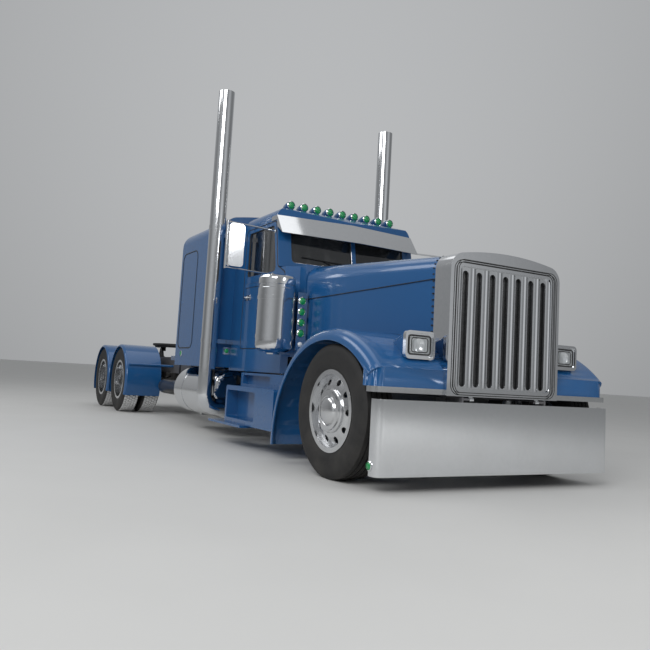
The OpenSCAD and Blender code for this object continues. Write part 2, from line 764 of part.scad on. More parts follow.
module cab_shell() color(paint) place() {
  difference() {
    cab_body(0, cab_z0);
    cab_body(cab_wall, floor_top);
    box([cab_x1 + cab_wall, nose_x + 50], [-cab_half + cab_wall, cab_half - cab_wall], [0, floor_z]);
    box([cab_x1 - 1, nose_x + 50], [-450, 450], [0, floor_z]);
    box([cab_x1 - 1, cab_x1 + cab_wall + 1], [-480, 480], [floor_top + 10, 2350]);
    pane(0);
    both() y_bar(cab_half - 200, cab_half + 10) door_hole();
  }
  both() for (z = door_hinges) {
    box([hinge_x + hinge_r + 6, hinge_x + hinge_r + 40], [cab_half - 54, cab_half + 10], [z - 45, z + 45]);
    translate([hinge_x, hinge_y, z - 45]) cylinder(r = hinge_pin, h = 90);
    for (k = [-45, 33]) {
      translate([hinge_x, hinge_y, z + k]) cylinder(r = hinge_r - 1, h = 12);
      box([hinge_x, hinge_x + hinge_r + 20], [cab_half + 2, hinge_y + 8], [z + k, z + k + 12]);
    }
  }
}

module windscreen() color(glass) place() difference() {
  intersection() {
    pane(fit);
    union() for (s = [-1, 1]) screen_front(screen_x - 24, s);
  }
  for (s = [-1, 1]) screen_front(screen_x - 17, s);
}

// Door with window frame, hinge barrels
module door(s) color(paint) place() side(s) difference() {
  union() {
    y_bar(cab_half - cab_wall, cab_half) difference() {
      polygon(fillet(door_shape, 42));
      polygon(fillet(window_shape, 48));
    }
    for (z = door_hinges) {
      translate([hinge_x, hinge_y, z - 28]) cylinder(r = hinge_r, h = 56);
      box([hinge_x - 60, hinge_x], [cab_half - 1, cab_half + 10], [z - 28, z + 28]);
      box([hinge_x - 20, hinge_x], [cab_half - 1, hinge_y + 2], [z - 28, z + 28]);
    }
    y_bar(cab_half - 1, cab_half + 7) translate([(door_x0 + door_x1) / 2, 1800]) rrect(1000, 44, 20);
  }
  for (z = door_hinges) translate([hinge_x, hinge_y, z - 100]) cylinder(r = hinge_pin + run, h = 200);
}

module door_right() door(-1);
module door_left() door(1);

module door_glass(s) color(glass) place() side(s) y_bar(cab_half - 26, cab_half - 19)
  polygon(fillet([for (i = [0 : 3]) window_shape[i] + fit * [i == 1 || i == 2 ? -1 : 1, i < 2 ? 1 : -1]],
      48));

module door_glass_right() door_glass(-1);
module door_glass_left() door_glass(1);

module mirror_arm(s) color(chrome) place() side(s) {
  foot_x = mirror_x - 96;
  post_y = mirror_y + mirror_w / 2 + 20;
  for (z = [mirror_z0, mirror_z1]) {
    rod([foot_x, cab_half + 4, z], [mirror_x, post_y, z], 9);
    translate([foot_x, cab_half, z]) rotate([-90, 0, 0]) cylinder(r = 22, h = 10);
  }
  rod([mirror_x, post_y, mirror_z0 - 14], [mirror_x, post_y, mirror_z1 + 14], 12);
  for (z = [mirror_z0 + 110, mirror_z1 - 110]) rod([mirror_x, post_y, z], [mirror_x, mirror_y + 40, z], 8);
  x_bar(mirror_x - 28, mirror_x + 28) translate([mirror_y, (mirror_z0 + mirror_z1) / 2])
    rrect(mirror_w, mirror_z1 - mirror_z0 - 30, 38);
}

module mirror_right() mirror_arm(-1);
module mirror_left() mirror_arm(1);

// Drop visor: two halves swept like the screen, with folded ends
module slab(p, v) {
  quads = [[0, 1, 2, 3], [7, 6, 5, 4], [0, 4, 5, 1], [1, 5, 6, 2], [2, 6, 7, 3], [3, 7, 4, 0]];
  polyhedron([p[0], p[1], p[2], p[3], p[0] + v, p[1] + v, p[2] + v, p[3] + v],
    [for (q = quads) each [[q[0], q[1], q[2]], [q[0], q[2], q[3]]]]);
}

function screen_at(y, z) = screen_x - abs(y) * tan(screen_sweep) - (z - belt) * tan(screen_rake)
    / cos(screen_sweep);

// Front edge of the door beside the screen
function pillar_at(z) = mix(pillar_x0, pillar_x1, (z - pillar_z0) / (door_z1 - pillar_z0));

module visor() color(chrome) place() both() {
  low = 2290;
  high = 2525;
  out = 150;
  wide = cab_half + 8;
  a = [screen_at(0, high) + 1, 0, high];
  b = [screen_at(wide, high) + 1, wide, high];
  c = [screen_at(wide, low) + out - 40, wide, low + 20];
  d = [screen_at(0, low) + out, 0, low];
  slab([a, d, c, b], [5, 0, 3]);
  clear = 25;
  over = door_z1 + 12;
  knee = door_z1 - 65;
  y_bar(wide - 5, wide) polygon([[b[0] + 4, b[2] + 2], [c[0] + 4, c[2] + 2], [pillar_at(knee) + clear, knee],
    [pillar_at(door_z1) + clear, over], [b[0] - 130, over], [b[0] - 130, high]]);
}

// Sleeper box behind the cab
module sleeper_body(t, z0) intersection() {
  x_bar(sleeper_x1 + t, cab_x1 - t) crown_section(sleeper_half - t, z0, sleeper_top - t, 170 - t);
  y_bar(-1200, 1200) {
    r = 330 - t;
    translate([sleeper_x1 + t + r, z0]) square([cab_x1 - sleeper_x1 - 2 * t - r, sleeper_top - z0]);
    translate([sleeper_x1 + t, z0]) square([cab_x1 - sleeper_x1 - 2 * t, sleeper_top - t - r - z0]);
    translate([sleeper_x1 + t + r, sleeper_top - t - r]) circle(r);
  }
}

module sleeper() color(paint) place() difference() {
  sleeper_body(0, sleeper_z0);
  sleeper_body(sleeper_wall, floor_top);
  box([sleeper_x1 + sleeper_wall, cab_x1 - sleeper_wall], [-sleeper_half + sleeper_wall,
      sleeper_half - sleeper_wall],
    [0, floor_z]);
  box([sleeper_x1 - 1, cab_x1 + 1], [-450, 450], [0, floor_z]);
  box([cab_x1 - sleeper_wall - 1, cab_x1 + 1], [-480, 480], [floor_top + 10, 2350]);
  both() y_bar(sleeper_half - 5, sleeper_half + 5) translate([sleeper_x1 + 375, 1730]) difference() {
    rrect(600, 1320, 110);
    rrect(584, 1304, 102);
  }
}

// Lamps
roof_lamp_z = lookup(-roof_lamp_x, [for (p = roof_line) [-p[0], cab_top - p[1]]]) + 48 - roof_lamp_drop;

module roof_lamp_housings() color(paint) place() difference() {
  for (i = [0 : roof_lamps - 1]) let (y = (i - (roof_lamps - 1) / 2) * roof_pitch)
    translate([roof_lamp_x, y, roof_lamp_z]) rotate([0, -90, 0]) rotate_extrude($fn = 40)
      polygon([[0, 0], [46, 0], [48, 12], [46, 60], [34, 130], [14, 190], [0, 200]]);
  cab_body(-fit, cab_z0);
}

module dome(r, h) {
  k = (r * r + h * h) / (2 * h);
  intersection() {
    translate([0, 0, h - k]) sphere(r = k, $fn = 40);
    cylinder(r = r, h = h + 1, $fn = 40);
  }
}

// Green lenses: roof row, air cleaner rows, bumper ends, sleeper corners
module marker_lamps() color(green) place() {
  for (i = [0 : roof_lamps - 1]) let (y = (i - (roof_lamps - 1) / 2) * roof_pitch)
    translate([roof_lamp_x, y, roof_lamp_z]) rotate([0, 90, 0]) dome(41, 22);
  both() {
    for (z = [1220 : 108 : 1560]) translate([cleaner_x + 125, 838, z]) rotate([0, 90, 0]) dome(36, 16);
    translate([bumper_x - 90, bumper_half, bumper_z0 + 72]) rotate([-90, 0, 0]) dome(30, 16);
    translate([sleeper_x1 + 260, sleeper_half, 1000]) rotate([-90, 0, 0]) dome(34, 16);
    translate([cab_x1, cab_half + 45, 1040]) rotate([0, 90, 0]) dome(30, 16);
  }
}

module air_cleaners() color(chrome) place() both() {
  translate([cleaner_x, cleaner_y, 995]) rotate_extrude($fn = 96) {
    polygon([[0, 0], [60, 0], [70, 12], [cleaner_r - 50, 30], [cleaner_r - 10, 55], [cleaner_r, 80],
        [cleaner_r, 655],
      [cleaner_r - 8, 660], [cleaner_r - 8, 690], [cleaner_r, 695], [cleaner_r, 750], [cleaner_r - 14, 778],
      [cleaner_r - 50, 790], [0, 795]]);
    for (z = [150, 540]) translate([0, z]) square([cleaner_r + 4, 40]);
  }
  for (z = [1160, 1545]) box([cleaner_x - 60, cleaner_x + 20], [cowl_half, cleaner_y - 150], [z, z + 60]);
  box([cleaner_x + 90, cleaner_x + 125], [cowl_half + 8, 888], [1050, 1630]);
  box([cleaner_x - 60, cleaner_x + 124], [cowl_half + 8, 800], [1330, 1390]);
  box([cleaner_x - 40, cleaner_x + 20], [cowl_half, 810], [1330, 1390]);
}

// Twin stacks joined by a cross pipe under the frame
module exhaust_stacks() color(chrome) place() {
  bend = 150;
  both() {
    difference() {
      translate([stack_x, stack_y, cross_z + bend]) cylinder(r = stack_r, h = stack_top - cross_z - bend);
      translate([stack_x, stack_y, stack_top - 400]) cylinder(r = stack_r - 5, h = 500);
    }
    translate([stack_x, stack_y - bend, cross_z + bend]) rotate([0, -90, 0]) rotate([0, 0, 90])
      rotate_extrude(angle = 90) translate([bend, 0]) circle(stack_r);
    for (z = [1120, 2480]) translate([stack_x, stack_y, z]) cylinder(r = stack_r + 4, h = 50);
    for (z = [1120, 2400]) box([stack_x - 30, stack_x + 30], [cab_half, stack_y - stack_r + 20], [z, z + 50]);
  }
  rod([stack_x, -stack_y + bend, cross_z], [stack_x, stack_y - bend, cross_z], stack_r);
}

module fuel_tanks() color(chrome) place() both() {
  translate([tank_x1, tank_y, tank_z]) rotate([0, 90, 0]) rotate_extrude($fn = 96)
    polygon([[0, 0], [tank_r - 90, 6], [tank_r - 30, 22], [tank_r - 6, 44], [tank_r, 60], [tank_r,
        tank_len - 60],
      [tank_r - 6, tank_len - 44], [tank_r - 30, tank_len - 22], [tank_r - 90, tank_len - 6], [0, tank_len]]);
  for (k = [0.24, 0.76]) let (x = tank_x1 + k * tank_len) {
    x_bar(x - 40, x + 40) translate([tank_y, tank_z]) circle(tank_r + 4, $fn = 96);
    x_bar(x - 32, x + 32) difference() {
      polygon([[rail_y, rail_top - 20], [rail_y + 20, rail_top - 20], [rail_y + 40, tank_z + 40],
          [tank_y, tank_z - tank_r + 10],
        [tank_y, tank_z - tank_r - 24], [rail_y + 70, tank_z - tank_r - 24], [rail_y, tank_z - 150]]);
      translate([tank_y, tank_z]) circle(tank_r - 8, $fn = 96);
    }
  }
}

// Battery and tool boxes with steps beside the cab
module step_boxes() color(paint) place() both() {
  x0 = -1200;
  x1 = -2420;
  z0 = 250;
  z1 = 650;
  out = 1130;
  riser = 960;
  difference() {
    union() {
      y_bar(rail_y + 20, out) polygon(fillet([[x1, z0], [x0, z0], [x0, z1], [x1, z1]], 30));
      box([x1, hood_x1 - 20], [rail_y + 20, riser], [z1 - 50, cab_z0 - 15]);
      for (x = [x1 + 70, x0 - 120]) box([x - 40, x + 40], [rail_y, rail_y + 30], [z1 - 90, rail_top - 40]);
    }
    y_bar(out - 130, out + 70) translate([-2010, (z0 + z1) / 2]) rrect(740, 300, 30);
    y_bar(riser - 60, out + 70) translate([-2010, z1 + 72]) rrect(700, 96, 20);
  }
  box([x1 - 330, -1830], [riser, out + 65], [z0 - 25, z0]);
}

module rear_fenders() color(paint) place() for (x = [drive1, drive2]) both() {
  r = tyre_r + 62;
  t = 6;
  inner = 640;
  flat = 1200;
  edge = 40;
  pole = r + 14;
  spin(x, axle_z) mirror([0, 0, 1]) rotate([0, 0, -24]) rotate_extrude(angle = 228, $fn = 120) {
    translate([r - t, inner]) square([t, flat - inner]);
    intersection() {
      translate([r - edge, flat]) difference() {
        circle(edge);
        circle(edge - t);
      }
      translate([r - edge, flat]) square(edge + 10);
    }
  }
  for (a = [26, 154]) spin(x + pole * cos(a), axle_z + pole * sin(a)) translate([0, 0, -flat + 20])
    cylinder(r = 20, h = flat - 20 - rail_y);
}

module deck_plate() color(chrome) place() {
  x0 = sleeper_x1 - 60;
  x1 = sleeper_x1 - 1150;
  out = 760;
  t = 8;
  box([x1, x0], [-rail_y, rail_y], [rail_top, rail_top + t]);
  both() box([x1, x0], [rail_y, out], [rail_top + 1, rail_top + t - 1]);
  both() box([x1, x0], [out - t, out], [rail_top - 60, rail_top + t - 1]);
}

module air_tanks() color(dark) place() both() {
  x0 = -5400;
  x1 = -6500;
  y = 590;
  z = 480;
  rod([x1, y, z], [x0, y, z], 118);
  for (x = [x0 - 250, x1 + 250]) {
    box([x - 25, x + 25], [rail_y, rail_y + 12], [z + 20, rail_top - 60]);
    box([x - 25, x + 25], [rail_y, y], [z + 20, z + 40]);
  }
}

// Fifth wheel
module fifth_wheel_base() color(dark) place() both() {
  foot = 14;
  box([fifth_x - 330, fifth_x + 330], [rail_in, rail_y + 12], [rail_top, rail_top + foot]);
  y_bar(ear_y, ear_y + 30) polygon([[fifth_x - 140, rail_top + 1], [fifth_x + 140, rail_top + 1],
    [fifth_x + 30, fifth_z + 34], [fifth_x - 30, fifth_z + 34]]);
  box([fifth_x - 140, fifth_x + 140], [ear_y, rail_in + 10], [rail_top, rail_top + foot]);
  spin(fifth_x, fifth_z) translate([0, 0, -ear_y - 30]) cylinder(r = pivot_r, h = 80);
}

module fifth_wheel_plate() color(dark) place() {
  top = fifth_z + fifth_up;
  plate_r = 470;
  translate([fifth_x, 0, top - 36]) linear_extrude(36) difference() {
    union() {
      circle(plate_r, $fn = 120);
      polygon([[0, -plate_r], [0, plate_r], [-480, 330], [-560, 150], [-560, -150], [-480, -330]]);
    }
    polygon([[-24, -throat_r], [-24, throat_r], [-300, 60], [-700, 200], [-700, -200], [-300, -60]]);
    circle(throat_r);
  }
  translate([fifth_x, 0, top - 70]) linear_extrude(40) difference() {
    circle(plate_r - 40, $fn = 120);
    circle(plate_r - 72, $fn = 120);
    translate([-700, -260]) square([700, 520]);
  }
  both() difference() {
    box([fifth_x - 60, fifth_x + 60], [ear_y - 46, ear_y - 10], [fifth_z - 45, top - 30]);
    spin(fifth_x, fifth_z) translate([0, 0, -400]) cylinder(r = pivot_r + run, h = 400);
  }
  both() box([fifth_x - 40, fifth_x + 40], [ear_y - 10, plate_r - 74], [fifth_z + 48, top - 30]);
}

module tail_bar() color(chrome) place() {
  box([tail_x + 12, tail_x + 70], [-620, 620], [rail_z0 + 40, rail_z0 + 180]);
}

module tail_lamps() color(red) place() both() for (y = [220, 380, 540])
  translate([tail_x, y, rail_z0 + 110]) rotate([0, 90, 0]) cylinder(r = 50, h = 12);

// Inside the cab
module seats() both() {
  seat_z = 1260;
  lean = 10;
  translate([-2480, 430, 0]) {
    box([-120, 120], [-120, 120], [floor_top, seat_z]);
    box([-240, 260], [-250, 250], [seat_z - 5, seat_z + 140]);
    translate([-170, 0, seat_z + 120]) rotate([0, -lean, 0]) box([-120, 0], [-245, 245], [0, 640]);
    translate([-268, 0, seat_z + 740]) rotate([0, -lean, 0]) box([-90, 0], [-130, 130], [0, 170]);
  }
}

module dashboard() {
  front = nose_x - cab_wall - fit;
  low = 1240;
  high = 1840;
  y_bar(-700, 700) polygon([[front, low], [-1700, low], [-1800, low + 180], [-1810, high - 200], [-1700,
      high], [front, high]]);
}

module steering_wheel() translate([-2030, 430, 1640]) rotate([0, -48, 0]) {
  ring = 215;
  rotate_extrude($fn = 48) translate([ring, 0]) circle(16, $fn = 24);
  for (a = [0, 120, 240]) rotate([0, 0, a]) translate([0, -15, -8]) cube([ring - 5, 30, 16]);
  cylinder(r = 55, h = 40, center = true);
  rotate([180, 0, 0]) cylinder(r = 30, h = 380);
}

module cab_interior() color(dark) place() {
  seats();
  dashboard();
  steering_wheel();
}

frame();
front_axle();
front_springs();
rear_axles();
rear_suspension();
driveshafts();
engine();
radiator();
bumper();
cab_shell();
windscreen();
visor();
sleeper();
roof_lamp_housings();
marker_lamps();
air_cleaners();
exhaust_stacks();
fuel_tanks();
step_boxes();
rear_fenders();
deck_plate();
air_tanks();
fifth_wheel_base();
tail_bar();
tail_lamps();
cab_interior();
fifth_wheel_plate();
hood();
front_fenders();
grille_shell();
grille_bars();
headlamp_pods();
headlamp_bezels();
headlamp_lenses();
fender_strips();
door_right();
door_left();
door_glass_right();
door_glass_left();
mirror_right();
mirror_left();
knuckle_left();
knuckle_right();
tie_rod();
tyre_front_left();
tyre_front_right();
tyres_rear1_left();
tyres_rear1_right();
tyres_rear2_left();
tyres_rear2_right();
rim_front_left();
rim_front_right();
rims_rear1_left();
rims_rear1_right();
rims_rear2_left();
rims_rear2_right();
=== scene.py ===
"""Looks of a long-nose semi truck tractor unit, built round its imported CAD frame.

Metres, +X forward, +Y left, +Z up, origin on the ground at mid length.
"""

import json
import logging
import math
from collections.abc import Callable
from dataclasses import dataclass, field
from enum import Enum
from typing import ClassVar

import bmesh
import bpy
from mathutils import Matrix, Vector
from mathutils.bvhtree import BVHTree


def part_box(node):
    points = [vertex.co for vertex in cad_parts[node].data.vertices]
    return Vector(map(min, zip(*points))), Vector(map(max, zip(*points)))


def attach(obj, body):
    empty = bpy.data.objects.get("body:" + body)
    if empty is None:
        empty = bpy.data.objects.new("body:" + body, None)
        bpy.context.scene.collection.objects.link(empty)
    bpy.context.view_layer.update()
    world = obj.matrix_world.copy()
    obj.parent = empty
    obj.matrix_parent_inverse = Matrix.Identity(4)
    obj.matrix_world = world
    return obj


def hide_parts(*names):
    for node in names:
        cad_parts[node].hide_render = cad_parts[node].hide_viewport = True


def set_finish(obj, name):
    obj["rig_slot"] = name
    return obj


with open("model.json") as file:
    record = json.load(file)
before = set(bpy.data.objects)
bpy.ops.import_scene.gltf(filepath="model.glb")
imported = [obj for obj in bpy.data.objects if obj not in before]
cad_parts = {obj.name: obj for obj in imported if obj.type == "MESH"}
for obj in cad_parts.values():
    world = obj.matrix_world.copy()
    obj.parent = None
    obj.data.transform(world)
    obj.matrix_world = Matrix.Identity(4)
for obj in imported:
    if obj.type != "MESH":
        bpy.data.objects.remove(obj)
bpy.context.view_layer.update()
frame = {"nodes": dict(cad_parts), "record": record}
LOG = logging.getLogger("tractor")
DUST = (0.33, 0.30, 0.26)

Vec3 = tuple[float, float, float]
EVEN: Vec3 = (1.0, 1.0, 1.0)

# Sides of the truck with the sign of Y there
SIDES = (("left", 1.0), ("right", -1.0))
# Points of a CAD mesh that lie this close are one
WELD = 0.00005
# Distance from the middle plane at which rays at the sides start
FAR = 5.0
# Faces look a given way if their normal's share along it is above this
FACING = 0.9
# Edges of small pieces that are sharper than this stay sharp, in degrees
SMALL_SHARP = 35.0
# Points round a square with round corners
SQUARE_POINTS = 32

# The record's slot of each finish that the record does not name itself
RECORD_SLOT = {
    "seal_rubber": "tyre_rubber",
    "mirror_glass": "chrome",
    "grille_screen": "core",
    "white_lens": "lamp_glass",
}


class Axis(Enum):
    """Direction a ring or a lens faces."""

    X = (1.0, 0.0, 0.0)
    Y = (0.0, 1.0, 0.0)
    Z = (0.0, 0.0, 1.0)


# Shader building


class Shade:
    """One shader value; arithmetic on it adds math nodes."""

    def __init__(self, tree: bpy.types.NodeTree, socket: bpy.types.NodeSocket) -> None:
        """Wrap a socket of a tree."""
        self.tree = tree
        self.socket = socket

    def math(self, kind: str, *values: "Shade | float", clamp: bool = False) -> "Shade":
        """Add a math node.

        Args:
            kind: operation of the node.
            values: what its sockets get, in order.
            clamp: whether the result stays between 0 and 1.

        Returns:
            The result.
        """
        node = self.tree.nodes.new("ShaderNodeMath")
        node.operation = kind
        node.use_clamp = clamp
        for target, value in zip(node.inputs, values):
            if isinstance(value, Shade):
                self.tree.links.new(value.socket, target)
            else:
                target.default_value = value
        return Shade(self.tree, node.outputs[0])

    def __add__(self, other: "Shade | float") -> "Shade":
        """Sum."""
        return self.math("ADD", self, other)

    def __radd__(self, other: float) -> "Shade":
        """Sum with a number first."""
        return self.math("ADD", other, self)

    def __sub__(self, other: "Shade | float") -> "Shade":
        """Difference."""
        return self.math("SUBTRACT", self, other)

    def __rsub__(self, other: float) -> "Shade":
        """Difference from a number."""
        return self.math("SUBTRACT", other, self)

    def __mul__(self, other: "Shade | float") -> "Shade":
        """Product."""
        return self.math("MULTIPLY", self, other)

    def __rmul__(self, other: float) -> "Shade":
        """Product with a number first."""
        return self.math("MULTIPLY", other, self)

    def __pow__(self, other: float) -> "Shade":
        """Power."""
        return self.math("POWER", self, other)

    def sine(self) -> "Shade":
        """Sine of the value in radians."""
        return self.math("SINE", self)

    def held(self) -> "Shade":
        """The value kept between 0 and 1."""
        return self.math("ADD", self, 0.0, clamp=True)

    def between(self, low: float, high: float) -> "Shade":
        """Spread over a range.

        Args:
            low: result where the value is 0.
            high: result where the value is 1.

        Returns:
            The value in the range.
        """
        return self * (high - low) + low

    def above(self, edge: float, soft: float) -> "Shade":
        """Soft step.

        Args:
            edge: value where the step starts.
            soft: width of the step.

        Returns:
            0 below the edge, rising to 1 over the width.
        """
        return ((self - edge) * (1.0 / soft)).held()


class ShaderTree:
    """A shader node tree under construction."""

    # Sockets of the mix node that belong to its colour form
    MIX_FACTOR = 0
    MIX_LOW = 6
    MIX_HIGH = 7
    MIX_RESULT = 2

    def __init__(self, tree: bpy.types.NodeTree) -> None:
        """Take over a tree."""
        self.tree = tree

    def node(
        self,
        kind: str,
        settings: dict[str, object] | None = None,
        sockets: dict[str | int, object] | None = None,
    ) -> bpy.types.Node:
        """Add a node.

        Args:
            kind: node type name.
            settings: properties of the node, set first.
            sockets: inputs by name or number, as constants or Shades.

        Returns:
            The new node.
        """
        made = self.tree.nodes.new(kind)
        for key, value in (settings or {}).items():
            setattr(made, key, value)
        for key, value in (sockets or {}).items():
            if isinstance(value, Shade):
                self.tree.links.new(value.socket, made.inputs[key])
            else:
                made.inputs[key].default_value = value
        return made

    def out(self, node: bpy.types.Node, name: str | int = 0) -> Shade:
        """One output of a node as a value."""
        return Shade(self.tree, node.outputs[name])

    def mix(self, factor: Shade, low: "Vec3 | Shade", high: "Vec3 | Shade") -> Shade:
        """Blend two colours.

        Args:
            factor: blend from 0 to 1.
            low: colour at 0.
            high: colour at 1.

        Returns:
            The blended colour.
        """
        ends = [c if isinstance(c, Shade) else (*c, 1.0) for c in (low, high)]
        sockets = {self.MIX_FACTOR: factor, self.MIX_LOW: ends[0], self.MIX_HIGH: ends[1]}
        return self.out(self.node("ShaderNodeMix", {"data_type": "RGBA"}, sockets), self.MIX_RESULT)


class Surface(ShaderTree):
    """A material under construction, with a Principled shader ready to fill."""

    def __init__(self, name: str, constants: dict[str, object]) -> None:
        """Start a material.

        Args:
            name: material name.
            constants: shader inputs that are the same all over.
        """
        self.material = bpy.data.materials.new(name)
        self.material.use_nodes = True
        super().__init__(self.material.node_tree)
        self.shader = self.tree.nodes["Principled BSDF"]
        for key, value in constants.items():
            self.shader.inputs[key].default_value = value

    def place(self, stretch: Vec3 = EVEN) -> Shade:
        """Object coordinates.

        Args:
            stretch: scale along each axis.

        Returns:
            The coordinates as a vector.
        """
        place = self.out(self.node("ShaderNodeTexCoord"), "Object")
        if stretch == EVEN:
            return place
        return self.out(self.node("ShaderNodeMapping", None, {"Vector": place, "Scale": stretch}))

    def axis(self, index: int) -> Shade:
        """One object coordinate, X, Y or Z by number, in metres."""
        return self.out(self.node("ShaderNodeSeparateXYZ", None, {0: self.place()}), index)

    def noise(self, scale: float, detail: float = 3.0, stretch: Vec3 = EVEN) -> Shade:
        """Fractal noise from 0 to 1.

        Args:
            scale: features per metre.
            detail: octaves.
            stretch: scale along each axis.

        Returns:
            The noise value.
        """
        sockets = {"Vector": self.place(stretch), "Scale": scale, "Detail": detail}
        return self.out(self.node("ShaderNodeTexNoise", None, sockets))

    def cells(self, scale: float) -> Shade:
        """Distance to the nearest cell centre, for so many cells per metre."""
        sockets = {"Vector": self.place(), "Scale": scale}
        return self.out(self.node("ShaderNodeTexVoronoi", None, sockets), "Distance")

    def feed(self, name: str, value: Shade) -> "Surface":
        """Link a value to the shader.

        Args:
            name: shader input.
            value: what drives it.

        Returns:
            This surface.
        """
        self.tree.links.new(value.socket, self.shader.inputs[name])
        return self

    def bump(self, height: Shade, strength: float, distance: float) -> "Surface":
        """Bump the surface.

        Args:
            height: height value.
            strength: 0 to 1.
            distance: height of 1 in metres.

        Returns:
            This surface.
        """
        sockets = {"Strength": strength, "Distance": distance, "Height": height}
        return self.feed("Normal", self.out(self.node("ShaderNodeBump", None, sockets), "Normal"))


@dataclass(frozen=True)
class Finish:
    """One of the truck's surface finishes."""

    name: str
    low: Vec3
    high: Vec3
    metal: float
    rough: tuple[float, float]
    grain: float
    bump: float = 0.0
    coat: float = 0.0
    dust: float = 0.0

    COAT_ROUGH: ClassVar[float] = 0.03
    WEAR_SCALE: ClassVar[float] = 2.3
    DUST_FOOT: ClassVar[float] = 0.15
    DUST_RISE: ClassVar[float] = 0.9
    DUST_PATCH: ClassVar[float] = 5.0
    DUST_ROUGH: ClassVar[float] = 0.5
    GRAIN_STRENGTH: ClassVar[float] = 0.4

    def make(self) -> bpy.types.Material:
        """Build the material.

        Returns:
            The finished material.
        """
        constants = {"Metallic": self.metal, "Coat Weight": self.coat, "Coat Roughness": self.COAT_ROUGH}
        surface = Surface(self.name, constants)
        colour = surface.mix(surface.noise(self.grain, detail=4.0), self.low, self.high)
        rough = surface.noise(self.WEAR_SCALE, detail=5.0).between(*self.rough)
        if self.dust > 0:
            near_road = 1.0 - surface.axis(2).above(self.DUST_FOOT, self.DUST_RISE)
            patches = surface.noise(self.DUST_PATCH, detail=6.0).above(edge=0.35, soft=0.4)
            film = near_road * patches * self.dust
            colour = surface.mix(film, colour, DUST)
            rough = rough + film * self.DUST_ROUGH
        surface.feed("Base Color", colour).feed("Roughness", rough)
        if self.bump > 0:
            grain = surface.noise(self.grain * 2.0, detail=2.0)
            surface.bump(grain, self.GRAIN_STRENGTH, self.bump)
        return surface.material


